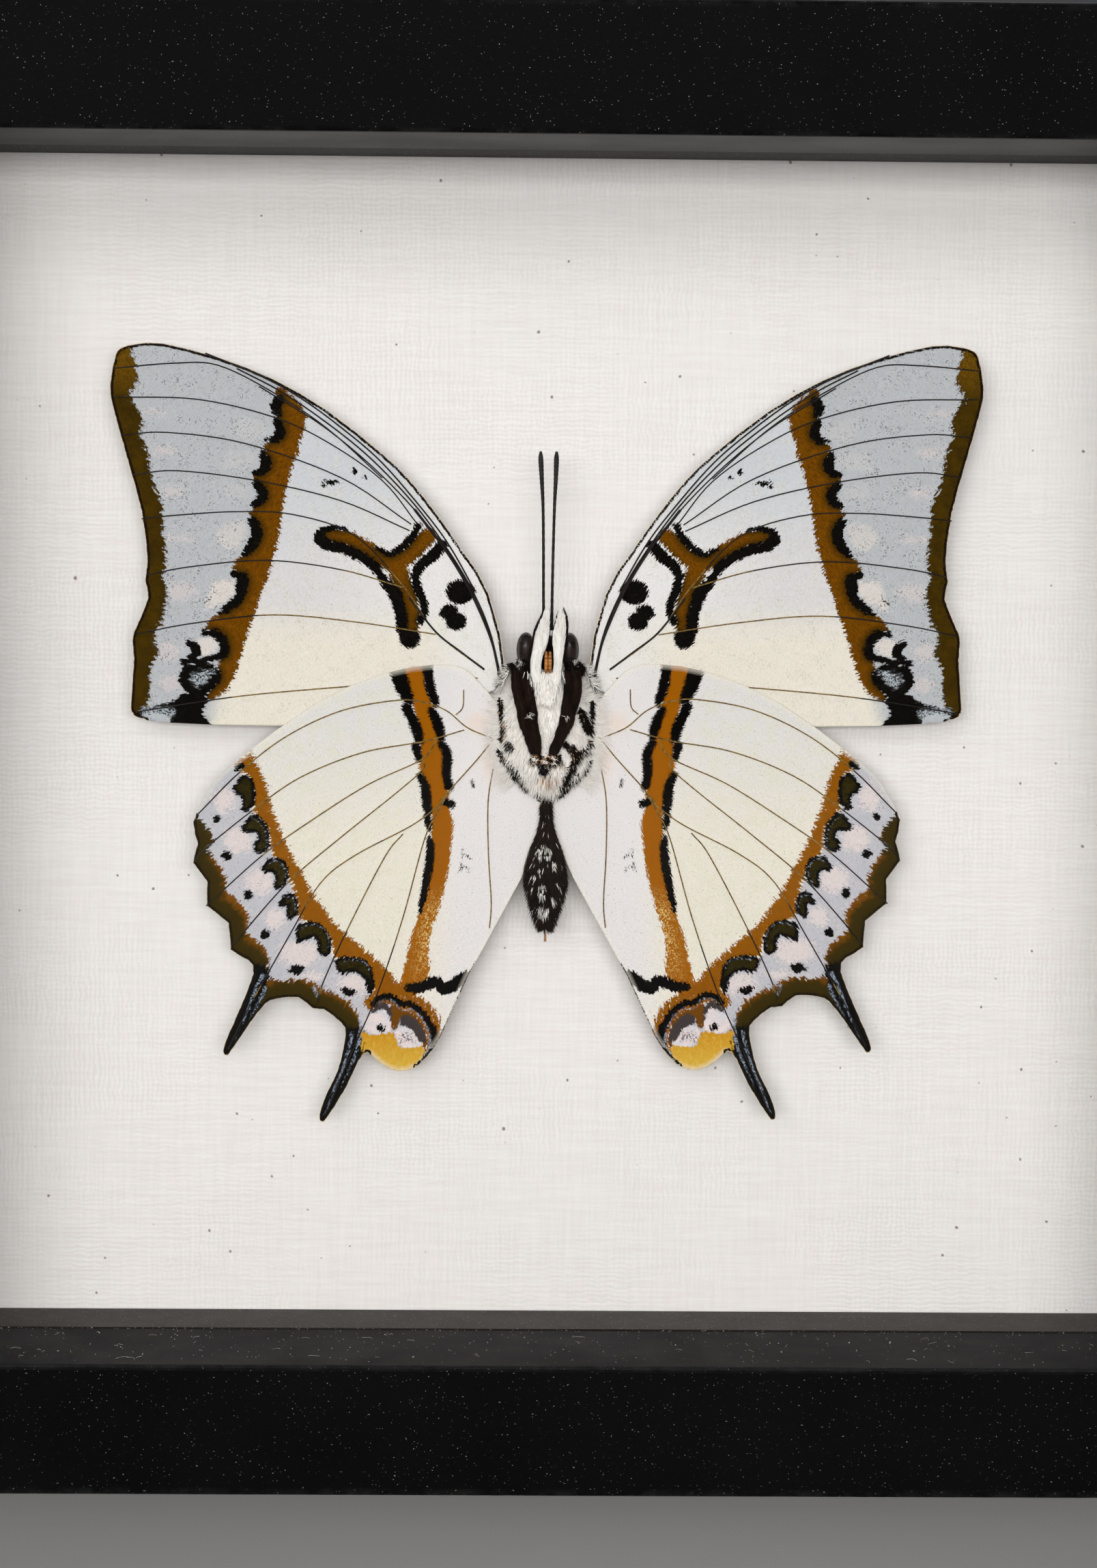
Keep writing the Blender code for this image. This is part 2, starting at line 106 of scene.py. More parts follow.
class Finish:
    """A material under construction: nodes are added by kind and joined by name."""

    def __init__(self, name, group=False):
        if group:
            self.tree = bpy.data.node_groups.new(name, "ShaderNodeTree")
        else:
            self.material = bpy.data.materials.new(name)
            self.material.use_nodes = True
            self.tree = self.material.node_tree
            self.shader = self.tree.nodes["Principled BSDF"]
            self.surface = self.tree.nodes["Material Output"].inputs["Surface"]

    def node(self, kind, settings=None, **inputs):
        made = self.tree.nodes.new("ShaderNode" + kind)
        for key, value in (settings or {}).items():
            setattr(made, key, value)
        for key, value in inputs.items():
            self.feed(made.inputs[key.replace("_", " ")], value)
        return made

    def feed(self, socket, value):
        if isinstance(value, bpy.types.NodeSocket):
            self.tree.links.new(value, socket)
        elif socket.type == "RGBA" and not hasattr(value, "__len__"):
            socket.default_value = (value, value, value, 1)
        else:
            socket.default_value = value

    def maths(self, operation, first, second=0.0, third=0.0, clamp=False):
        made = self.tree.nodes.new("ShaderNodeMath")
        made.operation = operation
        made.use_clamp = clamp
        for socket, value in zip(made.inputs, (first, second, third)):
            self.feed(socket, value)
        return made.outputs[0]

    def span(self, value, low, high, to_low=0.0, to_high=1.0, smooth=False):
        """value's stretch from low to high, as to_low to to_high and no further."""
        made = self.tree.nodes.new("ShaderNodeMapRange")
        made.interpolation_type = "SMOOTHSTEP" if smooth else "LINEAR"
        for key, number in zip(
            ("Value", "From Min", "From Max", "To Min", "To Max"), (value, low, high, to_low, to_high)
        ):
            self.feed(made.inputs[key], number)
        return made.outputs[0]

    def blend(self, share, first, second, how="MIX"):
        made = self.tree.nodes.new("ShaderNodeMix")
        made.data_type = "RGBA"
        made.blend_type = how
        for socket, value in zip((made.inputs[0], made.inputs[6], made.inputs[7]), (share, first, second)):
            self.feed(socket, value)
        return made.outputs[2]

    def place(self, scale=(1000, 1000, 1000), turn=(0, 0, 0)):
        """Object coordinates, by default in millimetres."""
        coordinates = self.node("TexCoord")
        mapping = self.node("Mapping", Vector=coordinates.outputs["Object"], Scale=scale, Rotation=turn)
        return mapping.outputs[0]

    def noise(self, where, scale, detail=2.0, roughness=0.5, distortion=0.0):
        made = self.node(
            "TexNoise", Vector=where, Scale=scale, Detail=detail, Roughness=roughness, Distortion=distortion
        )
        return made.outputs[0]

    def attribute(self, name):
        return self.node("Attribute", {"attribute_name": name}).outputs["Fac"]

    def use(self, group, **inputs):
        made = self.tree.nodes.new("ShaderNodeGroup")
        made.node_tree = group.tree
        for key, value in inputs.items():
            self.feed(made.inputs[key.replace("_", " ")], value)
        return made.outputs

    def socket(self, name, kind, output=False, value=None):
        made = self.tree.interface.new_socket(
            name=name, in_out="OUTPUT" if output else "INPUT", socket_type="NodeSocket" + kind
        )
        if value is not None:
            made.default_value = value

    def bump(self, height, strength, distance, normal=None):
        made = self.node("Bump", Height=height, Strength=strength, Distance=distance)
        if normal is not None:
            self.feed(made.inputs["Normal"], normal)
        return made.outputs[0]


def settled_dust():
    """How much lies at a spot: a film on faces that look up, with dust specks scattered over it. The film is
    dust on the rails and painted light from above on the spacers.
    """
    group = Finish("settled_dust", group=True)
    group.socket("Film", "Float", value=0.5)
    group.socket("Speck Share", "Float", value=0.2)
    group.socket("Upward Film", "Float", output=True)
    group.socket("Specks", "Float", output=True)
    inside = group.tree.nodes.new("NodeGroupInput")
    outside = group.tree.nodes.new("NodeGroupOutput")
    normal = group.node("NewGeometry").outputs["Normal"]
    up = group.node("SeparateXYZ", Vector=normal).outputs["Z"]
    faces_up = group.span(up, 0.3, 0.9)
    where = group.place()
    patches = group.span(group.noise(where, 0.22, 3), 0.35, 0.65, 0.6, 1.0)
    film = group.maths("MULTIPLY", group.maths("MULTIPLY", faces_up, patches), inside.outputs["Film"])
    grains = group.noise(where, 4.5, 1)
    edge = group.maths("SUBTRACT", 1.0, group.maths("MULTIPLY", inside.outputs["Speck Share"], 0.5))
    specks = group.span(grains, group.maths("MULTIPLY", edge, 0.74), group.maths("MULTIPLY", edge, 0.78))
    group.feed(outside.inputs["Upward Film"], film)
    group.feed(outside.inputs["Specks"], specks)
    return group


DUST = settled_dust()
FRAME_SIZE = cad_high.z - cad_low.z
FRAME_MIDDLE = (cad_high.z + cad_low.z) / 2
RAIL_NAMES = [f"frame_rail_{side_name}" for side_name in ("bottom", "left", "top", "right")]


def black_paint():
    finish = Finish("satin_black_paint")
    where = finish.place()
    axes = finish.node("SeparateXYZ", Vector=finish.place((1, 1, 1)))
    far_x = finish.maths("ABSOLUTE", axes.outputs["X"])
    far_z = finish.maths("ABSOLUTE", finish.maths("SUBTRACT", axes.outputs["Z"], FRAME_MIDDLE))
    far = finish.maths("MAXIMUM", far_x, far_z)
    outer = finish.span(far, FRAME_SIZE / 2 - 0.0011, FRAME_SIZE / 2 - 0.0002)
    inner_wall = FRAME_SIZE / 2 - 0.016
    inner = finish.span(far, inner_wall + 0.0007, inner_wall + 0.0001)
    arris = finish.maths("MAXIMUM", outer, inner)
    front = finish.span(axes.outputs["Y"], cad_low.y + 0.0012, cad_low.y + 0.0002)
    # Painted highlight and wear: the front arrises are painted paler in patches, standing both for worn paint
    # and for the light line these edges catch.
    rub_and_highlight = finish.span(finish.noise(where, 0.35, 4, 0.65), 0.42, 0.7)
    worn = finish.maths("MULTIPLY", finish.maths("MULTIPLY", arris, front), rub_and_highlight)
    clouds = finish.noise(where, 0.05, 3)
    peel = finish.noise(where, 2.4, 2)
    grain = finish.noise(where, 9.0, 2)
    paint = finish.blend(finish.span(clouds, 0.3, 0.7), display(9, 9, 10), display(13, 13, 13))
    paint = finish.blend(finish.maths("MULTIPLY", worn, 0.55), paint, display(46, 45, 44))
    dust_and_upward_film = finish.use(DUST, Film=0.5, Speck_Share=0.012)
    dusty = finish.maths("MULTIPLY", dust_and_upward_film["Upward Film"], finish.span(grain, 0.3, 0.7, 0.25, 0.75))
    paint = finish.blend(dusty, paint, display(80, 79, 81))
    paint = finish.blend(finish.maths("MULTIPLY", dust_and_upward_film["Specks"], 0.7), paint, display(150, 145, 140))
    finish.feed(finish.shader.inputs["Base Color"], paint)
    gloss = finish.span(clouds, 0.3, 0.7, 0.34, 0.42)
    gloss = finish.maths("ADD", gloss, finish.maths("MULTIPLY", dust_and_upward_film["Upward Film"], 0.4), clamp=True)
    finish.feed(finish.shader.inputs["Roughness"], gloss)
    finish.feed(finish.shader.inputs["Specular IOR Level"], 0.04)
    height = finish.maths("ADD", peel, finish.maths("MULTIPLY", grain, 0.35))
    finish.feed(finish.shader.inputs["Normal"], finish.bump(height, 0.25, 0.0001))
    return finish.material


BLACK_PAINT = black_paint()
for rail_name in RAIL_NAMES:
    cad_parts[rail_name].material_slots[0].material = BLACK_PAINT


# Dust on the bottom ledge: the specks, lint and short fibres that gather in front of the glass,
# loose on the paint. Each is a thin strand or a tiny crumb.


def strands(name, lines, finishes, sides=0):
    """One mesh of thin strands: lines lists (places, radii in metres, number of the finish)."""
    path = bpy.data.curves.new(name + "_path", "CURVE")
    path.dimensions = "3D"
    path.bevel_depth = 1
    path.bevel_resolution = sides
    path.use_fill_caps = True
    for finish in finishes:
        path.materials.append(finish)
    for places, radii, number in lines:
        line = path.splines.new("POLY")
        line.points.add(len(places) - 1)
        line.material_index = number
        for point, place, radius in zip(line.points, places, radii):
            point.co = (*place, 1)
            point.radius = radius
    holder = bpy.data.objects.new(name + "_path", path)
    bpy.context.scene.collection.objects.link(holder)
    graph = bpy.context.evaluated_depsgraph_get()
    mesh = bpy.data.meshes.new_from_object(holder.evaluated_get(graph), depsgraph=graph)
    bpy.data.objects.remove(holder, do_unlink=True)
    bpy.data.curves.remove(path)
    mesh.name = name
    made = bpy.data.objects.new(name, mesh)
    bpy.context.scene.collection.objects.link(made)
    mesh.shade_smooth()
    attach(made, "root")
    return made


def lint():
    finish = Finish("pale_lint")
    tone = finish.noise(finish.place(), 0.9, 2)
    colour = finish.blend(finish.span(tone, 0.35, 0.65), display(205, 200, 192), display(140, 130, 118))
    finish.feed(finish.shader.inputs["Base Color"], colour)
    finish.feed(finish.shader.inputs["Roughness"], 0.9)
    return finish.material


LINT = lint()
glass_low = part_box("glass_pane")[0]
LEDGE_Z = 0.016
LEDGE_HALF = 0.073
CRUMBS = 520
FIBRES = 46
chance = random.Random(11)
dust_lines = []
for number in range(CRUMBS):
    crumb_x = chance.uniform(-LEDGE_HALF, LEDGE_HALF)
    depth = chance.random() ** 1.6
    crumb_y = glass_low.y - 0.0004 - depth * 0.018
    size = chance.uniform(0.02, 0.075) * MM * (1.5 if chance.random() < 0.12 else 1)
    start = Vector((crumb_x, crumb_y, LEDGE_Z + size * 0.8))
    reach = Vector((chance.uniform(-1, 1), chance.uniform(-1, 1), 0)) * size * 1.3
    dust_lines.append(((start - reach, start, start + reach), (size * 0.4, size, size * 0.35), 0))
for number in range(FIBRES):
    fibre_x = chance.uniform(-LEDGE_HALF, LEDGE_HALF)
    fibre_y = glass_low.y - chance.uniform(0.0006, 0.017)
    way = chance.uniform(0, math.pi)
    bend = chance.uniform(-1, 1)
    length = chance.uniform(0.4, 1.9) * MM
    places = []
    for step in range(6):
        along = (step / 5 - 0.5) * length
        lift = 0.00005 + 0.00012 * math.sin(step * 0.6) * chance.random()
        turn = way + bend * step / 5
        places.append(
            Vector((fibre_x + along * math.cos(turn), fibre_y + along * math.sin(turn), LEDGE_Z + lift))
        )
    dust_lines.append((places, [0.00002] * 6, 0))
ledge_dust = strands("ledge_dust", dust_lines, [LINT])


# Glass pane: 2 mm float glass resting against the back of the lip. Its mirror strength is turned
# down from that of plain glass, so that the specimen shows clearly.

glass_finish = Finish("clear_glass")
glass_finish.feed(glass_finish.shader.inputs["Base Color"], (0.985, 0.995, 0.99, 1))
glass_finish.feed(glass_finish.shader.inputs["Roughness"], 0.0)
glass_finish.feed(glass_finish.shader.inputs["IOR"], 1.5)
glass_finish.feed(glass_finish.shader.inputs["Specular Tint"], (0.12, 0.12, 0.12, 1))
glass_finish.feed(glass_finish.shader.inputs["Transmission Weight"], 1.0)
through = glass_finish.node("BsdfTransparent", Color=(0.93, 0.94, 0.935, 1))
shadow_ray = glass_finish.node("LightPath").outputs["Is Shadow Ray"]
open_glass = glass_finish.node("MixShader", Fac=shadow_ray)
glass_finish.tree.links.new(glass_finish.shader.outputs[0], open_glass.inputs[1])
glass_finish.tree.links.new(through.outputs[0], open_glass.inputs[2])
glass_finish.tree.links.new(open_glass.outputs[0], glass_finish.surface)
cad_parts["glass_pane"].material_slots[0].material = glass_finish.material


# Spacers: four strips of dark foam-core board that hold the card away from the glass.


def spacer_board():
    finish = Finish("dark_spacer_board")
    where = finish.place()
    fibres = finish.noise(finish.place((900, 5200, 5200)), 1.0, 3, 0.6)
    clouds = finish.noise(where, 0.3, 3)
    colour = finish.blend(finish.span(fibres, 0.35, 0.65), display(22, 18, 16), display(34, 29, 26))
    colour = finish.blend(finish.span(clouds, 0.4, 0.7, 0, 0.4), colour, display(42, 36, 33))
    dust_and_upward_film = finish.use(DUST, Film=0.35, Speck_Share=0.06)
    # Painted light: the film on upward faces, which the bottom strip shows, is painted a lighter brown for
    # the light and reflection falling on it from above. The specks below are dust.
    colour = finish.blend(dust_and_upward_film["Upward Film"], colour, display(98, 90, 86))
    colour = finish.blend(dust_and_upward_film["Specks"], colour, display(176, 170, 160))
    finish.feed(finish.shader.inputs["Base Color"], colour)
    finish.feed(finish.shader.inputs["Roughness"], finish.span(fibres, 0.3, 0.7, 0.7, 0.85))
    finish.feed(finish.shader.inputs["Normal"], finish.bump(fibres, 0.4, 0.0001))
    return finish.material


SPACER_BOARD = spacer_board()
for side_name in ("bottom", "top", "left", "right"):
    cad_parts[f"spacer_{side_name}"].material_slots[0].material = SPACER_BOARD


# Backing card: mount board covered in off-white linen paper, whose embossed threads run both
# ways and break up here and there.


def linen_weave():
    """Linen-embossed paper: threads across and up, each breaking and swelling along its run."""
    group = Finish("linen_weave", group=True)
    group.socket("Thread", "Float", value=0.62)
    group.socket("Weave", "Float", output=True)
    inside = group.tree.nodes.new("NodeGroupInput")
    outside = group.tree.nodes.new("NodeGroupOutput")
    thread = inside.outputs["Thread"]
    layers = []
    for stretch in ((0.06, 1, 1), (1, 1, 0.05)):
        where = group.place(tuple(1000 * part for part in stretch))
        wide = group.noise(where, group.maths("DIVIDE", 1.25, thread), 3, 0.6)
        layers.append(wide)
    bars = []
    for axis, name in ((0, "X"), (2, "Z")):
        axes = group.node("SeparateXYZ", Vector=group.place())
        drift = group.maths("MULTIPLY", group.noise(group.place(), 0.6, 2), 1.1)
        along = group.maths("ADD", axes.outputs[name], drift)
        wave = group.maths("SINE", group.maths("DIVIDE", group.maths("MULTIPLY", along, 6.283), thread))
        bars.append(wave)
    patch_across = group.span(group.noise(group.place(), 0.045, 2), 0.35, 0.62)
    patch_up = group.span(group.noise(group.place((1000, 1000, 1700)), 0.05, 2), 0.4, 0.65)
    across = group.maths("MULTIPLY", bars[1], group.maths("MULTIPLY", patch_across, 0.22))
    up = group.maths("MULTIPLY", bars[0], group.maths("MULTIPLY", patch_up, 0.2))
    weave = group.maths("ADD", layers[0], group.maths("MULTIPLY", layers[1], 0.7))
    weave = group.maths("ADD", weave, group.maths("ADD", across, up))
    group.feed(outside.inputs["Weave"], weave)
    return group


LINEN = linen_weave()


def linen_card():
    finish = Finish("linen_card")
    weave = finish.use(LINEN, Thread=0.62)["Weave"]
    where = finish.place()
    clouds = finish.noise(where, 0.02, 2)
    colour = finish.blend(finish.span(clouds, 0.35, 0.65), display(237, 231, 229), display(234, 229, 228))
    colour = finish.blend(
        finish.span(weave, 0.55, 1.15, 0.0, 0.45), colour, display(214, 206, 203)
    )
    specks = finish.noise(where, 1.1, 0)
    colour = finish.blend(finish.span(specks, 0.835, 0.86, 0, 0.8), colour, display(120, 100, 84))
    finish.feed(finish.shader.inputs["Base Color"], colour)
    finish.feed(finish.shader.inputs["Roughness"], 0.85)
    finish.feed(finish.shader.inputs["Specular IOR Level"], 0.25)
    finish.feed(finish.shader.inputs["Normal"], finish.bump(weave, 0.5, 0.00012))
    return finish.material


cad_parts["backing_card"].material_slots[0].material = linen_card()


# Back panel: tempered hardboard with a mesh-pressed back, held by flat steel points.


def hardboard():
    finish = Finish("hardboard")
    where = finish.place()
    fibres = finish.noise(finish.place((2600, 2600, 900)), 1.0, 4, 0.65, 0.6)
    clouds = finish.noise(where, 0.06, 3)
    colour = finish.blend(finish.span(clouds, 0.3, 0.7), display(116, 84, 56), display(98, 70, 46))
    colour = finish.blend(finish.span(fibres, 0.35, 0.7, 0, 0.6), colour, display(144, 110, 78))
    flecks = finish.noise(where, 3.3, 2)
    colour = finish.blend(finish.span(flecks, 0.64, 0.7, 0, 0.5), colour, display(60, 42, 28))
    dust_and_upward_film = finish.use(DUST, Film=0.3, Speck_Share=0.04)
    colour = finish.blend(dust_and_upward_film["Specks"], colour, display(170, 160, 148))
    finish.feed(finish.shader.inputs["Base Color"], colour)
    finish.feed(finish.shader.inputs["Roughness"], finish.span(fibres, 0.3, 0.7, 0.62, 0.85))
    finish.feed(finish.shader.inputs["Normal"], finish.bump(fibres, 0.45, 0.00015))
    return finish.material


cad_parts["back_panel"].material_slots[0].material = hardboard()


# Steel points and sawtooth hanger: zinc-plated pressings and two small nails, a little dull.


def zinc_plate():
    finish = Finish("zinc_plate")
    where = finish.place()
    brushed = finish.noise(finish.place((600, 4000, 4000)), 1.0, 3)
    spangle = finish.node("TexVoronoi", Vector=where, Scale=0.9).outputs["Color"]
    spangle = finish.node("SeparateColor", Color=spangle).outputs[0]
    colour = finish.blend(spangle, display(172, 172, 168), display(190, 190, 188))
    tarnish = finish.span(finish.noise(where, 0.8, 4), 0.52, 0.72, 0, 0.5)
    colour = finish.blend(tarnish, colour, display(120, 112, 98))
    finish.feed(finish.shader.inputs["Base Color"], colour)
    finish.feed(finish.shader.inputs["Metallic"], 1.0)
    finish.feed(finish.shader.inputs["Roughness"], finish.span(brushed, 0.3, 0.7, 0.28, 0.45))
    finish.feed(finish.shader.inputs["Normal"], finish.bump(brushed, 0.2, 0.00005))
    return finish.material


ZINC = zinc_plate()
for name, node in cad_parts.items():
    if name.startswith(("tab_", "hanger_")):
        node.material_slots[0].material = ZINC


# Mounting pad: a dab of cream foam board glued between the thorax and the card.


def cream_foam():
    finish = Finish("cream_foam")
    cells = finish.node("TexVoronoi", Vector=finish.place(), Scale=4.0).outputs["Distance"]
    colour = finish.blend(finish.span(cells, 0.1, 0.7), display(206, 198, 176), display(236, 230, 212))
    finish.feed(finish.shader.inputs["Base Color"], colour)
    finish.feed(finish.shader.inputs["Roughness"], 0.9)
    finish.feed(finish.shader.inputs["Normal"], finish.bump(cells, 0.6, 0.0001))
    return finish.material


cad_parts["mounting_pad"].material_slots[0].material = cream_foam()


# Wings: four dry membranes covered in scales, set with their undersides to the front. The
# forewings lie just behind the hindwings. The marks are laid out along the veins, in millimetres
# out from the body's middle and up from the wing root, and the scales fray every edge.

WING_ROOT_Z = 0.095
MEMBRANE = 0.12 * MM
SCALE_STEP = 0.25 * MM


def smooth_line(points, steps=5):
    """Places along a smooth line through the points; each point may carry a half width too."""
    points = [np.array(point, float) for point in points]
    ends = [2 * points[0] - points[1], *points, 2 * points[-1] - points[-2]]
    made = []
    for a, b, c, d in zip(ends, ends[1:], ends[2:], ends[3:]):
        for step in range(steps):
            t = step / steps
            bend = 2 * b + (c - a) * t + (2 * a - 5 * b + 4 * c - d) * t**2
            made.append((bend + (3 * b - a - 3 * c + d) * t**3) / 2)
    return np.array([*made, points[-1]])


def from_line(places, line, half=0.0):
    """Millimetres from each place to the edge of a stroke. line lists (out, up) or (out, up, half)."""
    nearest = np.full(len(places), 1e3)
    for start, end in zip(line, line[1:]):
        span = end[:2] - start[:2]
        share = np.clip((places - start[:2]) @ span / max(span @ span, 1e-9), 0, 1)
        gap = np.hypot(*(places - start[:2] - share[:, None] * span).T)
        wide = start[2] + share * (end[2] - start[2]) if len(start) > 2 else half
        nearest = np.minimum(nearest, gap - wide)
    return nearest


def from_strokes(places, strokes, half=0.0):
    """The same for several strokes, each smoothed first."""
    return np.min([from_line(places, smooth_line(stroke), half) for stroke in strokes], axis=0)


def from_patch(places, corners, steps=4):
    """Millimetres outside a closed patch, and less than nought inside it."""
    closed = [*corners, corners[0]]
    outline = smooth_line(closed, steps) if steps > 1 else np.array(closed, float)
    inside = np.zeros(len(places), bool)
    out, up = places.T
    for (x1, z1), (x2, z2) in zip(outline, outline[1:]):
        if z1 == z2:
            continue
        crossing = ((z1 > up) != (z2 > up)) & (out < (x2 - x1) * (up - z1) / (z2 - z1) + x1)
        inside ^= crossing
    gap = from_line(places, outline)
    return np.where(inside, -gap, gap)


def from_patches(places, patches, steps=4):
    return np.min([from_patch(places, patch, steps) for patch in patches], axis=0)


def from_spots(places, spots):
    """Spots list (out, up, half width, half height)."""
    found = np.full(len(places), 1e3)
    for out, up, wide, high in spots:
        away = np.hypot((places[:, 0] - out) / wide, (places[:, 1] - up) / high)
        found = np.minimum(found, (away - 1) * min(wide, high))
    return found


def wing_sheet(node_name):
    """The front face of a CAD wing, cut into small squares that carry the marks."""
    sheet = bmesh.new()
    sheet.from_mesh(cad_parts[node_name].data)
    bmesh.ops.remove_doubles(sheet, verts=sheet.verts, dist=1e-6)
    bmesh.ops.recalc_face_normals(sheet, faces=sheet.faces)
    others = [face for face in sheet.faces if face.normal.y > -0.9]
    bmesh.ops.delete(sheet, geom=others, context="FACES")
    bmesh.ops.dissolve_faces(sheet, faces=sheet.faces)
    low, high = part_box(node_name)
    for axis, direction in ((0, (1, 0, 0)), (2, (0, 0, 1))):
        cuts = int((high[axis] - low[axis]) / SCALE_STEP)
        for number in range(1, cuts + 1):
            place = Vector((0, 0, 0))
            place[axis] = low[axis] + number * SCALE_STEP
            bmesh.ops.bisect_plane(
                sheet,
                geom=sheet.verts[:] + sheet.edges[:] + sheet.faces[:],
                dist=1e-7,
                plane_co=place,
                plane_no=direction,
            )
    return sheet


def wing_places(sheet, side, turn):
    """Each vertex as (out, up) on the wing, in millimetres, before the wing was swung up."""
    flat = np.array([(side * vert.co.x, vert.co.z - WING_ROOT_Z) for vert in sheet.verts]) / MM
    swing = np.array(Matrix.Rotation(-turn, 2))
    return flat @ swing.T


def rim_of(sheet, side, turn):
    """The wing's outline as pairs of (out, up) ends, in millimetres."""
    swing = np.array(Matrix.Rotation(-turn, 2))
    pairs = []
    for edge in sheet.edges:
        if len(edge.link_faces) == 1:
            ends = [(side * vert.co.x / MM, (vert.co.z - WING_ROOT_Z) / MM) for vert in edge.verts]
            pairs.append(np.array(ends) @ swing.T)
    return pairs


def from_rim(places, pairs, counts):
    """Millimetres in from the stretch of the outline for which counts(out, up) holds."""
    nearest = np.full(len(places), 1e3)
    for pair in pairs:
        if counts(*pair.mean(axis=0)):
            nearest = np.minimum(nearest, from_line(places, pair))
    return nearest


def finish_wing(name, node_name, sheet, marks, ribs, places, finish):
    """Raises the veins, stores the marks on the mesh and gives the membrane its thickness."""
    lift = -0.10 * np.exp(-((ribs / 0.45) ** 2))
    lift += 0.05 * np.sin(places[:, 0] * 0.35 + 0.6) * np.sin(places[:, 1] * 0.29 + places[:, 0] * 0.1)
    for vert, rise in zip(sheet.verts, lift):
        vert.co.y += rise * MM
    data = bpy.data.meshes.new(name)
    sheet.to_mesh(data)
    sheet.free()
    for key, values in marks.items():
        layer = data.attributes.new(key, "FLOAT", "POINT")
        layer.data.foreach_set("value", np.asarray(values, np.float32))
    data.shade_smooth()
    data.materials.append(finish)
    made = bpy.data.objects.new(name, data)
    bpy.context.scene.collection.objects.link(made)
    wall = made.modifiers.new("membrane", "SOLIDIFY")
    wall.thickness = MEMBRANE
    wall.offset = -1
    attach(made, "root")
    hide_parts(node_name)
    return made


def scale_grain():
    """The scales' own noise: Fray runs in streaks away from the body, Fine and Coarse are even."""
    group = Finish("scale_grain", group=True)
    for name in ("Fray", "Fine", "Coarse", "Rows"):
        group.socket(name, "Float", output=True)
    outside = group.tree.nodes.new("NodeGroupOutput")
    flow_out = group.attribute("flow_out")
    flow = group.node("CombineXYZ", X=flow_out, Y=group.attribute("flow_across")).outputs[0]
    streaks = group.noise(group.node("Mapping", Vector=flow, Scale=(1.1, 4.6, 1)).outputs[0], 1.0, 2, 0.6)
    where = group.place()
    fine = group.noise(where, 5.2, 2, 0.7)
    mixed = group.maths("ADD", group.maths("MULTIPLY", streaks, 0.62), group.maths("MULTIPLY", fine, 0.38))
    group.feed(outside.inputs["Fray"], group.maths("MULTIPLY", group.maths("SUBTRACT", mixed, 0.5), 3.4))
    group.feed(outside.inputs["Fine"], fine)
    group.feed(outside.inputs["Coarse"], group.noise(where, 0.55, 3, 0.6))
    rows = group.noise(group.node("Mapping", Vector=flow, Scale=(7.5, 2.2, 1)).outputs[0], 1.0, 1, 0.5)
    group.feed(outside.inputs["Rows"], rows)
    return group


def frayed_mark():
    """A mark's mask from its distance in millimetres: 1 inside, with an edge frayed by the scales."""
    group = Finish("frayed_mark", group=True)
    group.socket("Distance", "Float")
    group.socket("Fray", "Float")
    group.socket("Reach", "Float", value=1.0)
    group.socket("Soft", "Float", value=0.06)
    group.socket("Mask", "Float", output=True)
    inside = group.tree.nodes.new("NodeGroupInput").outputs
    outside = group.tree.nodes.new("NodeGroupOutput")
    wander = group.maths("MULTIPLY", inside["Fray"], inside["Reach"])
    edge = group.maths("ADD", inside["Distance"], wander)
    back = group.maths("MULTIPLY", inside["Soft"], -1.0)
    group.feed(outside.inputs["Mask"], group.span(edge, inside["Soft"], back, smooth=True))
    return group


GRAIN = scale_grain()
FRAYED = frayed_mark()

# Marks that both pairs of wings share are layered in one order: ground, pale patches, ochre,
# olive, black, then the light lines and specks on top.

WHITE_SCALES = display(210, 205, 206)
CREAM_SCALES = display(224, 216, 204)
GREY_SCALES = display(177, 178, 182)
OCHRE_SCALES = display(112, 67, 4)
OCHRE_DEEP = display(76, 42, 2)
OLIVE_SCALES = display(68, 48, 5)
OLIVE_DEEP = display(38, 29, 4)
BLACK_SCALES = display(9, 7, 6)


def wing_finish(name, build):
    finish = Finish(name)
    grain = finish.use(GRAIN)
    fray, fine, coarse, rows = (grain[key] for key in ("Fray", "Fine", "Coarse", "Rows"))

    def mask(key, reach=1.0, soft=0.06):
        return finish.use(FRAYED, Distance=finish.attribute(key), Fray=fray, Reach=reach, Soft=soft)["Mask"]

    colour = build(finish, mask, fray, fine, coarse, rows)
    shimmer = finish.span(rows, 0.3, 0.7, 0.93, 1.05)
    grey = finish.node("CombineColor", Red=shimmer, Green=shimmer, Blue=shimmer).outputs[0]
    colour = finish.blend(1.0, colour, grey, "MULTIPLY")
    finish.feed(finish.shader.inputs["Base Color"], colour)
    finish.feed(finish.shader.inputs["Roughness"], finish.span(fine, 0.3, 0.7, 0.72, 0.86))
    finish.feed(finish.shader.inputs["Specular IOR Level"], 0.03)
    height = finish.maths("ADD", rows, fine)
    finish.feed(finish.shader.inputs["Normal"], finish.bump(height, 0.35, 0.00006))
    return finish.material


# Forewings: a curved ochre band edged with black crescents, one to each cell, an olive margin,
# a forked ochre mark by the cell's end and a dark eye near the rear corner.

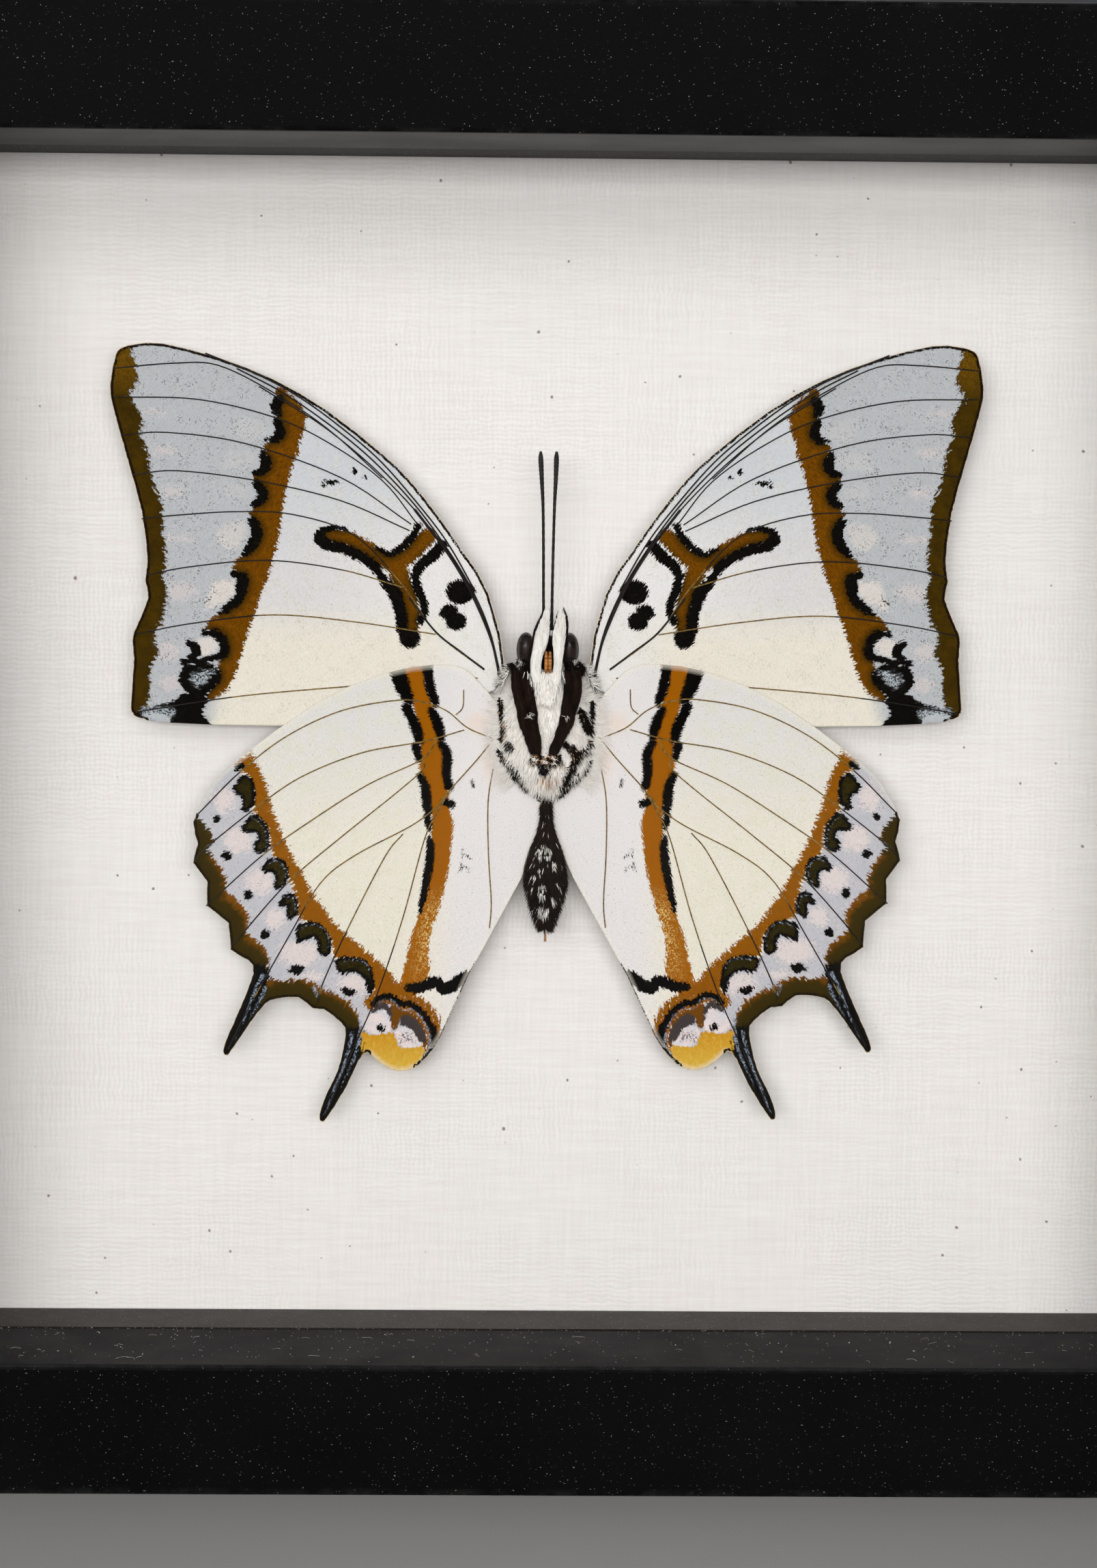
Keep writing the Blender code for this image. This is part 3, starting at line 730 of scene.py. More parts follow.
FOREWING_VEINS = [
    [(55.0, 42.0), (47.5, 42.7), (41.9, 42.5), (35.0, 39.2), (28.1, 34.7), (21.1, 28.5)],
    [(54.8, 38.4), (44.5, 38.2), (35.0, 36.1), (28.1, 33.0), (21.1, 28.2), (16.6, 22.7)],
    [(54.1, 33.6), (48.3, 34.0), (38.4, 32.7), (26.3, 28.5), (17.4, 22.7)],
    [(52.7, 28.6), (47.0, 29.2), (36.7, 28.0), (26.3, 25.6), (17.6, 21.9)],
    [
        (51.5, 23.1), (47.0, 23.6), (39.7, 24.1), (32.3, 23.8), (24.5, 21.2), (18.4, 14.9), (14.2, 9.1),
        (8.0, 4.3),
    ],
    [(50.9, 16.0), (45.3, 17.1), (35.8, 18.0), (26.3, 16.9), (18.4, 14.7)],
    [(52.2, 8.5), (45.3, 9.9), (34.9, 11.1), (24.5, 10.3), (14.2, 8.8)],
    [(51.8, -1.3), (40.1, 0.6), (29.7, 1.7), (17.5, 2.7), (8.8, 3.3)],
]
COSTAL_VEINS = [
    [
        (43.5, 44.0), (36.5, 41.2), (31.5, 38.5), (26.3, 34.8), (21.1, 30.4), (15.5, 24.0),
        (12.4, 19.8), (9.4, 14.6),
    ],
    [
        (39.5, 42.1), (34.0, 39.3), (28.0, 35.3), (22.5, 30.9), (17.0, 25.2), (12.8, 19.6), (9.6, 14.4),
        (7.4, 9.4), (6.0, 3.9),
    ],
]
BLACK_RIBS = [
    (COSTAL_VEINS[0], 0.11),
    (COSTAL_VEINS[1], 0.11),
    ([(17.0, 24.6), (12.9, 19.3), (9.8, 14.2), (7.3, 8.6), (6.4, 5.2), (6.1, 3.4)], 0.19),
    ([(17.6, 13.4), (14.2, 9.1), (11.0, 6.6), (8.0, 4.4)], 0.14),
    ([(36.7, 39.9), (28.1, 34.6), (20.3, 28.0), (13.7, 20.6), (9.8, 14.2), (7.2, 8.1), (6.0, 3.2)], 0.1),
]
MARGIN_INNER_EDGE = [
    (53.1, 45.0), (52.5, 43.3), (52.0, 40.4), (53.1, 38.6), (51.5, 36.0), (51.6, 33.5), (50.6, 31.0),
    (50.3, 28.4), (49.0, 24.8), (48.8, 22.2), (48.4, 17.4), (48.9, 15.9), (48.2, 13.5), (49.0, 9.8),
    (50.0, 8.8), (49.5, 6.2), (50.6, 3.6), (50.4, 1.6), (50.9, -1.2),
]
BAND_INNER_EDGE = [
    (40.9, 1.2), (39.7, 3.1), (39.0, 5.4), (37.5, 10.4), (35.7, 15.4), (34.2, 20.5), (33.4, 26.5),
    (32.0, 31.0), (31.3, 34.0), (30.8, 36.4), (32.2, 38.5), (34.4, 39.9),
]
BAND_OUTER_EDGE = [
    (34.6, 38.6), (34.3, 36.7), (34.8, 35.9), (34.2, 34.2), (35.7, 33.0), (36.2, 31.6), (35.9, 30.0),
    (37.3, 28.9), (37.2, 27.9), (36.4, 26.4), (37.4, 24.9), (37.9, 23.5), (37.3, 22.0), (37.4, 20.4),
    (38.9, 18.7), (40.1, 16.9), (39.1, 14.8), (39.6, 12.8), (41.9, 11.2), (43.6, 9.2), (41.4, 7.6),
    (41.6, 5.9), (42.2, 3.0), (43.5, 0.0),
]
BAND_CRESCENTS = [
    [(34.1, 38.3, 0.45), (34.6, 37.5, 0.55), (34.5, 36.9, 0.4), (34.1, 36.4, 0.15)],
    [(34.5, 35.7, 0.3), (34.1, 34.8, 0.5), (34.1, 34.0, 0.55), (34.7, 33.3, 0.38), (35.9, 33.1, 0.12)],
    [(36.2, 31.4, 0.3), (35.8, 30.5, 0.6), (36.0, 29.7, 0.5), (36.6, 29.1, 0.35), (37.4, 29.1, 0.1)],
    [(37.1, 27.8, 0.3), (36.5, 27.0, 0.55), (36.2, 26.2, 0.55), (36.6, 25.5, 0.45), (37.4, 25.0, 0.2)],
    [
        (37.6, 23.0, 0.4), (37.1, 22.2, 0.6), (37.0, 21.0, 0.6), (37.5, 19.9, 0.5), (38.3, 19.0, 0.35),
        (38.9, 18.6, 0.12),
    ],
    [
        (40.0, 16.3, 0.2), (38.9, 15.8, 0.6), (38.8, 14.8, 0.7), (39.1, 13.4, 0.5), (40.3, 12.1, 0.45),
        (41.5, 11.4, 0.15),
    ],
    [
        (43.6, 8.7, 0.25), (42.5, 8.8, 0.35), (41.5, 8.2, 0.5), (41.0, 7.1, 0.5), (41.2, 6.1, 0.5),
        (42.7, 5.5, 0.25), (44.5, 5.1, 0.25), (46.4, 5.0, 0.2),
    ],
    [(45.6, 7.6, 0.2), (44.8, 6.9, 0.5), (44.5, 6.2, 0.4), (45.3, 5.5, 0.3)],
]
FORK_OCHRE = [
    [(28.2, 21.2, 0.95), (25.8, 20.9, 1.10), (23.7, 19.9, 1.10), (21.9, 18.8, 1.10), (20.2, 18.0, 1.20)],
    [(15.4, 21.2, 1.10), (16.3, 20.2, 1.15), (17.6, 19.0, 1.20), (19.3, 17.7, 1.25)],
    [(19.3, 17.9, 1.30), (18.7, 15.9, 1.25), (17.9, 13.7, 1.25), (17.4, 11.7, 1.15), (17.4, 9.7, 1.00)],
]
FORK_BLACK = [
    [
        (28.8, 21.6, 0.5), (29.0, 20.6, 0.7), (27.6, 19.9, 0.65), (25.8, 19.5, 0.65), (23.7, 18.5, 0.6),
        (22.1, 17.4, 0.6), (21.3, 16.2, 0.5), (20.4, 15.0, 0.6),
    ],
    [(28.4, 21.9, 0.4), (27.2, 22.2, 0.3), (25.6, 22.0, 0.15)],
    [(16.3, 22.6, 0.3), (17.4, 21.0, 0.45), (18.7, 19.7, 0.45), (20.2, 18.9, 0.35), (21.6, 19.6, 0.2)],
    [
        (13.5, 20.1, 0.65), (14.6, 18.8, 0.75), (15.9, 17.8, 0.65), (16.8, 16.3, 0.55),
        (16.5, 14.5, 0.55), (15.8, 12.9, 0.5), (15.7, 11.5, 0.45), (16.2, 10.5, 0.5),
    ],
    [(20.4, 15.0, 0.7), (19.5, 14.0, 0.8), (19.0, 12.5, 0.75), (18.6, 11.0, 0.7), (18.5, 9.4, 0.7)],
    [(18.3, 8.9, 0.6), (17.5, 8.1, 1.1), (16.9, 8.6, 0.7)],
]
FOREWING_SPOTS = [
    (11.1, 14.2, 1.85, 1.6), (11.6, 10.5, 1.35, 1.2), (12.5, 11.6, 1.2, 1.05), (27.6, 27.9, 0.9, 0.33),
    (28.3, 27.6, 0.35, 0.25), (24.6, 29.4, 0.3, 0.35), (23.4, 28.7, 0.3, 0.25), (16.6, 22.6, 0.45, 0.4),
]
TORNUS_BLACK = [
    [
        (46.9, 2.6), (46.4, 4.2), (44.9, 4.9), (42.9, 4.9), (41.5, 4.0), (41.5, 2.6), (42.9, 1.2),
        (44.4, 0.0), (45.6, 0.9),
    ],
    [
        (42.9, 0.3), (43.8, -1.4), (42.7, -3.4), (47.6, -3.4), (47.8, -2.2), (49.0, -1.5), (50.9, -1.5),
        (52.2, -2.0), (51.6, -0.9), (50.7, -0.8), (47.5, 0.1), (46.3, 0.9), (44.5, 1.2),
    ],
]
TORNUS_SPECKLE = [
    [(42.3, 3.9), (43.4, 4.1), (45.0, 3.3), (45.0, 2.4), (44.1, 1.9), (43.0, 2.8)],
    [(51.5, -0.9), (49.8, -0.7), (47.7, -0.9), (47.2, -1.7), (49.4, -2.1), (51.3, -1.9)],
]
FOREWING_CREAM = [
    [(38.6, 36.0), (35.6, 34.9), (35.6, 34.2), (37.2, 33.2), (39.0, 33.5), (39.7, 35.0)],
    [(40.6, 31.6), (37.6, 31.7), (37.2, 30.6), (38.6, 29.6), (40.9, 29.8)],
    [(40.8, 27.5), (38.6, 27.4), (38.0, 26.2), (39.4, 25.8), (41.0, 26.3)],
    [(41.2, 22.4), (38.6, 22.8), (38.4, 21.2), (39.4, 19.7), (41.2, 19.6), (42.1, 21.0)],
    [(42.4, 15.3), (39.8, 15.5), (39.7, 14.0), (40.9, 12.7), (43.4, 11.9), (43.0, 13.5)],
    [(44.4, 7.8), (42.5, 8.2), (41.8, 7.2), (42.2, 6.3), (43.7, 5.8), (44.6, 6.4)],
]
FOREWING_PINK = [
    (50.3, 36.6, 1.3, 0.35), (48.8, 31.7, 1.3, 0.55), (47.7, 26.6, 1.4, 0.6), (47.0, 20.7, 1.5, 0.45),
    (46.5, 14.0, 2.0, 1.1), (48.1, 6.4, 1.4, 1.1), (47.8, 2.3, 1.3, 0.9),
]


def forewing_marks(places, pairs):
    out, up = places.T
    marks = {}
    marks["margin"] = from_patch(places, [*MARGIN_INNER_EDGE, (53, -4), (59, -4), (60, 46), (54, 47)], 1)
    marks["ochre"] = np.minimum(
        from_patch(places, BAND_INNER_EDGE + BAND_OUTER_EDGE, 2), from_strokes(places, FORK_OCHRE)
    )
    marks["black"] = np.min(
        [
            from_strokes(places, BAND_CRESCENTS) - 0.14,
            from_strokes(places, FORK_BLACK) - 0.06,
            from_spots(places, FOREWING_SPOTS),
            from_patches(places, TORNUS_BLACK),
        ],
        axis=0,
    )
    marks["speckle"] = from_patches(places, TORNUS_SPECKLE)
    marks["cream"] = from_patches(places, FOREWING_CREAM)
    marks["pink"] = from_spots(places, FOREWING_PINK)
    marks["thread"] = from_strokes(places, [[(42.6, 13.7), (42.8, 13.1), (43.9, 12.3)]], 0.08)
    marks["rim"] = from_rim(places, pairs, lambda u, v: v > 4.5 or u > 51.0)
    marks["soft_rim"] = from_rim(places, pairs, lambda u, v: v < 1.0 and u < 42.0)
    marks["veins"] = from_strokes(places, FOREWING_VEINS)
    marks["costa"] = from_strokes(places, COSTAL_VEINS)
    marks["out"] = out
    marks["up"] = up
    marks["flow_out"] = np.hypot(out, up + 4)
    marks["flow_across"] = np.arctan2(up + 4, out) * 30
    return marks


def forewing_colours(finish, mask, fray, fine, coarse, rows):
    out = finish.attribute("out")
    up = finish.attribute("up")
    lean = finish.maths("SUBTRACT", out, finish.maths("MULTIPLY", up, -0.28))
    outer = finish.span(lean, 40.5, 43.5, smooth=True)
    low = finish.span(up, 14.0, 7.0, smooth=True)
    white = finish.blend(finish.span(out, 30.0, 13.0), WHITE_SCALES, display(223, 219, 219))
    low = finish.maths("MULTIPLY", low, finish.span(out, 9.0, 17.0, 0.15, 1.0, smooth=True))
    white = finish.blend(low, white, CREAM_SCALES)
    upper = finish.span(finish.maths("ADD", up, finish.maths("MULTIPLY", out, 0.2)), 22.0, 34.0)
    white = finish.blend(upper, white, display(197, 198, 203))
    colour = finish.blend(outer, white, GREY_SCALES)
    cloud = finish.span(coarse, 0.35, 0.7, 0.0, 0.5)
    colour = finish.blend(finish.maths("MULTIPLY", cloud, outer), colour, display(185, 186, 190))
    stain = finish.maths("MULTIPLY", finish.span(coarse, 0.5, 0.75), finish.span(outer, 0, 1, 0.4, 0))
    colour = finish.blend(stain, colour, display(214, 208, 190))
    low_cream = finish.span(up, 26.0, 16.0, 0.2, 0.85)
    cream = finish.maths("MULTIPLY", mask("cream", 0.8, 0.35), low_cream)
    colour = finish.blend(cream, colour, display(214, 204, 198))
    pink = finish.maths("MULTIPLY", mask("pink", 1.2, 0.4), 0.42)
    colour = finish.blend(pink, colour, display(218, 201, 198))
    grit = finish.span(coarse, 0.42, 0.62, 0.15, 1.0)
    grit = finish.maths("MULTIPLY", finish.span(fine, 0.575, 0.62), grit)
    grit = finish.maths("MULTIPLY", grit, finish.span(outer, 0, 1, 0.25, 0.8))
    colour = finish.blend(grit, colour, display(66, 64, 66))
    ochre_tone = finish.blend(finish.span(rows, 0.35, 0.65), OCHRE_SCALES, OCHRE_DEEP)
    ochre_tone = finish.blend(finish.span(fine, 0.4, 0.75, 0.0, 0.35), ochre_tone, display(140, 88, 8))
    colour = finish.blend(mask("ochre", 0.9), colour, ochre_tone)
    near_black = finish.span(finish.attribute("black"), 0.9, 0.0, 0.0, 0.75)
    colour = finish.blend(finish.maths("MULTIPLY", near_black, mask("ochre", 0.9)), colour, OLIVE_DEEP)
    olive_tone = finish.blend(finish.span(coarse, 0.35, 0.65), OLIVE_SCALES, display(54, 38, 5))
    streak = finish.span(fray, 0.0, 0.5, 0.0, 0.6)
    olive_tone = finish.blend(streak, olive_tone, OLIVE_DEEP)
    high = finish.maths("MULTIPLY", finish.span(up, 38.0, 42.0), finish.span(fine, 0.45, 0.6, 0.3, 0.9))
    olive_tone = finish.blend(high, olive_tone, display(112, 78, 14))
    margin = mask("margin", 1.0)
    colour = finish.blend(margin, colour, olive_tone)
    edging = finish.maths("ABSOLUTE", finish.attribute("margin"))
    pepper = finish.maths("MULTIPLY", finish.span(edging, 0.5, 0.1), finish.span(fine, 0.56, 0.62))
    colour = finish.blend(finish.maths("MULTIPLY", pepper, 0.8), colour, BLACK_SCALES)
    black_tone = finish.blend(finish.span(fine, 0.5, 0.8, 0, 0.5), BLACK_SCALES, display(44, 40, 30))
    colour = finish.blend(mask("black", 0.55), colour, black_tone)
    pale_dots = finish.maths("MULTIPLY", mask("speckle", 1.2, 0.3), finish.span(fine, 0.42, 0.55))
    colour = finish.blend(pale_dots, colour, display(178, 184, 190))
    colour = finish.blend(mask("thread", 0.25), colour, BLACK_SCALES)
    soft_rim = finish.span(finish.attribute("soft_rim"), 0.9, 0.1, 0, 0.5)
    colour = finish.blend(soft_rim, colour, display(226, 216, 196))
    colour = finish.blend(mask("rim_dark", 0.15, 0.05), colour, display(24, 16, 12))
    colour = finish.blend(mask("rim_fringe", 0.1, 0.03), colour, display(226, 206, 172))
    return colour


WING_TURNS = {"forewing": math.radians(0.7), "hindwing": math.radians(1.2)}
FOREWING_SCALES = wing_finish("forewing_scales", forewing_colours)


def make_wing(kind, side_name, marks_of, finish, fringe):
    side = -1 if side_name == "left" else 1
    turn = WING_TURNS[kind] if side > 0 else 0.0
    node_name = f"{kind}_{side_name}"
    sheet = wing_sheet(node_name)
    places = wing_places(sheet, side, turn)
    marks = marks_of(places, rim_of(sheet, side, turn))
    marks["rim_fringe"] = marks["rim"] - fringe
    marks["rim_dark"] = np.maximum(marks["rim"] - fringe - 0.34, -marks["rim_fringe"])
    return finish_wing(f"{node_name}_scales", node_name, sheet, marks, marks["veins"], places, finish)


for side_name in ("left", "right"):
    make_wing("forewing", side_name, forewing_marks, FOREWING_SCALES, 0.06)


# Hindwings: an ochre stripe edged black down the middle, an ochre arc with a dark arch in each
# cell outside it, a spotted pale zone, an olive margin, two black tails and a yellow rear lobe.

HINDWING_VEINS = [
    [
        (7.0, -4.3), (10.1, -3.0), (12.7, -0.9), (15.7, 0.2), (19.2, 0.4), (26.2, -1.0), (33.1, -4.3),
        (39.0, -8.9), (44.3, -14.3),
    ],
    [(11.6, -1.4), (10.7, -0.4), (10.6, 1.8)],
    [(10.5, -3.3), (15.7, -4.8), (23.5, -6.3), (31.3, -9.5), (37.4, -13.8), (43.5, -18.8), (44.8, -20.5)],
    [(14.0, -4.6), (15.9, -7.1), (22.6, -10.3), (29.6, -14.8), (36.1, -19.5), (43.2, -26.0)],
    [(15.9, -7.1), (15.7, -8.3), (19.1, -11.4), (26.1, -17.1), (33.0, -23.1), (40.0, -31.2)],
    [(13.9, -13.2), (17.4, -15.7), (24.3, -19.4), (28.7, -23.0), (32.6, -29.7), (37.8, -39.1), (40.4, -44.4)],
    [(18.2, -16.6), (20.4, -19.4), (24.7, -27.8), (28.2, -35.5), (29.0, -38.4)],
    [(12.2, -10.9), (13.9, -13.9), (15.5, -17.4), (18.2, -27.5), (21.4, -37.2), (24.6, -44.7), (27.7, -52.3)],
    [(6.8, -8.2), (7.4, -12.5), (7.3, -19.1), (6.9, -25.3), (7.1, -28.6)],
    [(6.3, -3.8), (8.7, -6.9), (12.2, -10.9), (13.9, -13.2)],
]
STRIPE_OCHRE = [
    (17.3, 4.9, 1.7), (16.6, 2.2, 1.4), (15.8, 0.0, 1.3), (15.0, -3.0, 1.4), (14.6, -5.5, 1.6),
    (14.5, -8.0, 1.7), (13.9, -11.0, 1.5), (13.5, -13.5, 1.25), (13.2, -15.5, 1.4), (13.4, -18.0, 1.35),
    (13.7, -20.9, 1.35), (14.3, -24.0, 1.3), (15.0, -27.0, 1.15), (15.85, -29.7, 1.15), (16.25, -32.7, 1.45),
    (16.6, -35.3, 1.7), (18.0, -36.9, 0.9),
]
STRIPE_BLACK = [
    [(19.1, 4.6, 0.8), (18.5, 2.5, 0.85), (17.8, 1.0, 0.6), (17.4, 0.3, 0.4)],
    [(17.8, -0.5, 0.5), (17.1, -2.0, 0.5), (16.4, -3.6, 0.55), (16.2, -4.7, 0.4)],
    [(16.6, -5.4, 0.45), (16.4, -6.2, 0.4), (16.3, -7.0, 0.3)],
    [(16.1, -9.1, 0.3), (15.4, -10.6, 0.45), (15.2, -12.5, 0.5), (15.0, -13.9, 0.3)],
    [(15.1, -14.5, 0.35), (14.9, -15.5, 0.3), (14.9, -16.2, 0.1)],
    [
        (14.8, -17.1, 0.15), (14.7, -18.5, 0.42), (14.9, -20.9, 0.4), (15.3, -23.2, 0.35),
        (15.7, -25.3, 0.25), (16.0, -26.6, 0.1),
    ],
    [(15.3, 4.8, 0.5), (14.9, 2.2, 0.5), (14.3, 0.6, 0.42), (14.2, 0.0, 0.3)],
    [(14.7, -0.9, 0.35), (14.1, -2.0, 0.5), (13.6, -3.4, 0.5), (13.4, -4.4, 0.35)],
    [
        (13.4, -5.1, 0.35), (12.7, -6.2, 0.45), (12.7, -7.8, 0.5), (12.7, -9.2, 0.4),
        (12.4, -10.4, 0.45), (12.3, -10.7, 0.3),
    ],
    [(12.9, -12.5, 0.3), (12.1, -12.8, 0.4)],
    [(17.2, -36.4, 0.45), (15.9, -36.3, 0.55), (14.5, -35.7, 0.58), (13.5, -35.6, 0.5), (13.3, -36.3, 0.3)],
    [(13.2, -36.5, 0.5), (12.1, -36.3, 0.62), (10.9, -35.3, 0.58), (10.0, -34.5, 0.3)],
]
ARC_INNER_EDGE = [
    (37.6, -6.3), (36.7, -8.0), (35.4, -11.0), (34.9, -13.6), (33.6, -16.7), (31.0, -21.9), (27.8, -27.0),
    (25.6, -29.3), (20.8, -33.3), (19.0, -35.4), (17.0, -37.2),
]
ARC_OUTER_EDGE = [
    (19.6, -38.2), (21.9, -38.0), (22.2, -36.0), (23.6, -33.0), (26.9, -32.6), (27.4, -30.0), (30.6, -28.0),
    (31.6, -26.8), (32.0, -24.2), (33.0, -21.6), (34.8, -19.2), (35.4, -16.2), (37.2, -14.0), (37.4, -10.6),
    (39.0, -8.6), (39.6, -7.8),
]
ARCHES = [
    [(39.8, -8.8), (39.1, -7.6), (38.4, -7.9), (38.7, -8.6)],
    [
        (40.0, -10.9), (38.7, -9.3), (37.5, -9.5), (37.0, -10.9), (37.05, -12.8), (38.0, -13.9),
        (38.8, -13.9), (38.7, -12.3), (39.4, -11.8),
    ],
    [
        (39.0, -16.2), (38.2, -15.1), (37.3, -14.2), (36.3, -14.6), (35.4, -15.8), (35.1, -17.6),
        (35.4, -18.8), (36.3, -19.3), (37.2, -18.9), (37.2, -18.1), (36.7, -17.3), (37.0, -16.6),
        (38.2, -16.6),
    ],
    [
        (36.3, -21.3), (35.4, -19.9), (34.0, -19.8), (33.0, -20.4), (32.7, -22.0), (33.3, -23.4),
        (34.3, -23.9), (34.7, -23.3), (34.5, -22.3), (35.1, -21.6), (35.9, -21.8),
    ],
    [
        (34.1, -25.5), (33.1, -24.4), (32.2, -24.4), (31.5, -25.5), (31.5, -26.7), (32.2, -27.7),
        (32.8, -27.6), (33.1, -26.7), (33.0, -26.0), (33.8, -26.1),
    ],
    [
        (31.8, -29.4), (31.6, -28.4), (30.2, -27.8), (28.8, -28.1), (28.0, -28.8), (27.3, -30.2),
        (27.3, -31.8), (27.8, -32.4), (28.6, -32.3), (29.1, -31.5), (29.0, -30.6), (29.6, -30.0),
        (30.6, -30.4), (31.6, -30.7),
    ],
    [
        (27.0, -32.9), (25.9, -32.4), (24.3, -32.4), (22.9, -32.8), (22.1, -33.8), (21.8, -35.0),
        (21.8, -36.6), (22.3, -37.4), (22.7, -36.5), (22.9, -35.5), (23.7, -34.7), (24.7, -34.4),
        (25.7, -34.7), (26.5, -34.3),
    ],
]
ARCH_DEWDROPS = [
    [(37.5, -14.7), (36.6, -15.2), (35.8, -16.3), (35.5, -17.6), (35.7, -18.5)],
    [(35.2, -20.4), (34.3, -20.2), (33.4, -20.8), (33.1, -22.0), (33.6, -23.1)],
    [(33.1, -24.8), (32.3, -24.9), (31.9, -25.8), (31.9, -26.8)],
    [(31.2, -28.8), (30.4, -28.4), (29.4, -28.3), (28.4, -28.7), (27.8, -29.6), (27.6, -30.7), (27.8, -31.4)],
    [(25.8, -33.0), (24.6, -32.8), (23.4, -32.9), (22.7, -33.4), (22.4, -34.2)],
]
PALE_ZONE_SPOTS = [
    (41.9, -14.8, 0.45, 0.45), (40.6, -19.6, 0.65, 0.6), (37.9, -24.6, 0.65, 0.65),
    (35.7, -29.6, 0.65, 0.65), (31.7, -34.1, 1.05, 0.6), (24.9, -37.0, 0.85, 0.5),
    (20.95, -41.6, 0.5, 0.5), (25.4, -36.7, 0.5, 0.4),
]
PALE_ZONE_BLUSH = [
    (41.0, -12.4, 1.3, 1.5), (39.2, -17.6, 1.7, 1.7), (36.4, -22.8, 1.7, 1.6), (34.4, -27.6, 1.2, 1.2),
    (31.2, -32.0, 2.6, 1.6), (24.4, -36.1, 1.9, 1.4), (29.8, -35.0, 1.5, 0.5), (38.9, -27.0, 0.9, 1.2),
    (42.4, -21.0, 0.7, 0.9),
]
HIND_MARGIN = [
    (45.6, -13.4), (44.2, -14.9), (42.8, -16.3), (42.2, -17.8), (43.1, -18.8), (41.5, -20.7), (40.6, -22.9),
    (40.7, -24.0), (38.7, -25.9), (37.6, -27.7), (38.0, -29.3), (36.0, -31.2), (35.1, -32.7), (35.4, -34.6),
    (34.6, -35.5), (31.2, -35.3), (29.5, -35.7), (28.6, -36.5), (26.9, -37.1), (25.1, -38.2), (23.8, -39.9),
    (23.4, -41.5), (22.3, -45.0), (27.0, -56.0), (31.0, -56.0), (36.0, -45.0), (42.0, -48.0),
    (48.0, -30.0), (47.5, -13.0),
]
TAILS = [
    [(36.6, -34.9, 1.5), (37.4, -37.2, 1.6), (38.6, -40.6, 1.4), (40.8, -45.4, 1.0)],
    [(24.6, -42.4, 1.0), (24.9, -44.6, 1.7), (26.0, -48.0, 1.6), (28.6, -54.2, 1.0)],
]
TAIL_FROST = [
    [(24.5, -42.2, 0.19), (25.3, -45.4, 0.19), (26.9, -49.6, 0.14), (28.1, -52.9, 0.09)],
    [(23.5, -42.2, 0.22), (23.8, -44.0, 0.22), (24.7, -46.4, 0.16), (26.0, -49.4, 0.06)],
    [(36.0, -34.8, 0.25), (37.1, -37.2, 0.19), (38.2, -40.2, 0.14), (39.6, -43.4, 0.07)],
    [(35.6, -36.4, 0.22), (36.6, -38.6, 0.15), (38.0, -41.3, 0.07)],
    [(29.4, -36.4, 0.25), (29.1, -37.4, 0.22)],
    [(23.6, -40.6, 0.22), (23.4, -41.6, 0.19)],
]
LOBE_RING = [
    (21.9, -38.3, 0.3), (20.7, -37.5, 0.38), (19.3, -37.7, 0.3), (18.3, -38.4, 0.3), (17.1, -38.5, 0.3),
    (15.7, -39.5, 0.35), (14.7, -40.9, 0.38), (14.1, -42.3, 0.42), (14.1, -43.7, 0.4),
    (15.0, -45.3, 0.35), (16.0, -46.2, 0.2),
]
LOBE_OCHRE = [
    (20.7, -36.6, 0.9), (18.5, -37.4, 0.6), (16.5, -37.8, 0.55), (14.8, -39.0, 0.5),
    (13.9, -40.3, 0.45), (13.6, -41.5, 0.3),
]
LOBE_FROST = [
    (21.2, -38.3, 0.1), (20.3, -37.9, 0.12), (19.3, -38.0, 0.1), (18.7, -38.8, 0.1), (18.2, -39.2, 0.1),
    (17.1, -39.1, 0.12), (16.1, -39.8, 0.13), (15.3, -40.8, 0.14), (14.8, -42.1, 0.16),
    (14.6, -43.7, 0.24), (15.3, -45.1, 0.2),
]
LOBE_BROWN = [
    (19.6, -38.1), (18.7, -38.9), (17.1, -39.5), (15.9, -40.5), (15.1, -42.1), (15.0, -44.0),
    (15.9, -43.7), (17.0, -41.6), (18.4, -40.4), (18.9, -41.8), (19.7, -41.4), (19.8, -39.5),
]
LOBE_SMOKE = [
    [
        (22.2, -39.6), (21.6, -38.5), (20.3, -38.2), (19.6, -39.3), (19.5, -41.2), (19.9, -40.8),
        (20.4, -39.4), (21.4, -39.4), (22.3, -40.2),
    ],
    [
        (18.5, -40.3), (17.6, -39.8), (16.5, -40.4), (15.7, -41.4), (15.1, -42.8), (15.3, -43.5),
        (16.2, -43.1), (17.0, -41.8), (18.4, -41.2),
    ],
]
LOBE_WHITE = [
    [
        (23.2, -41.4), (22.7, -40.1), (21.5, -39.6), (20.4, -39.2), (19.8, -40.3), (19.6, -41.7),
        (20.7, -42.5), (21.9, -42.3),
    ],
    [
        (19.1, -41.9), (18.1, -41.3), (17.0, -41.8), (16.2, -42.9), (15.5, -43.7), (16.7, -44.3),
        (18.3, -43.9), (19.0, -42.9),
    ],
]
LOBE_YELLOW = [
    (23.6, -41.9), (21.7, -42.5), (19.5, -42.1), (18.9, -43.0), (18.2, -44.1), (15.5, -44.0),
    (15.2, -45.0), (15.6, -46.6), (18.0, -48.6), (22.0, -47.5), (23.6, -44.6),
]
HINDWING_MARKS = [
    [(9.5, -9.8, 0.16), (9.3, -10.6, 0.14)],
    [(10.6, -18.6, 0.06), (10.9, -21.5, 0.06)],
    [(10.2, -19.2, 0.08), (9.6, -19.7, 0.08)],
    [(10.1, -20.7, 0.07), (9.9, -21.4, 0.07)],
]


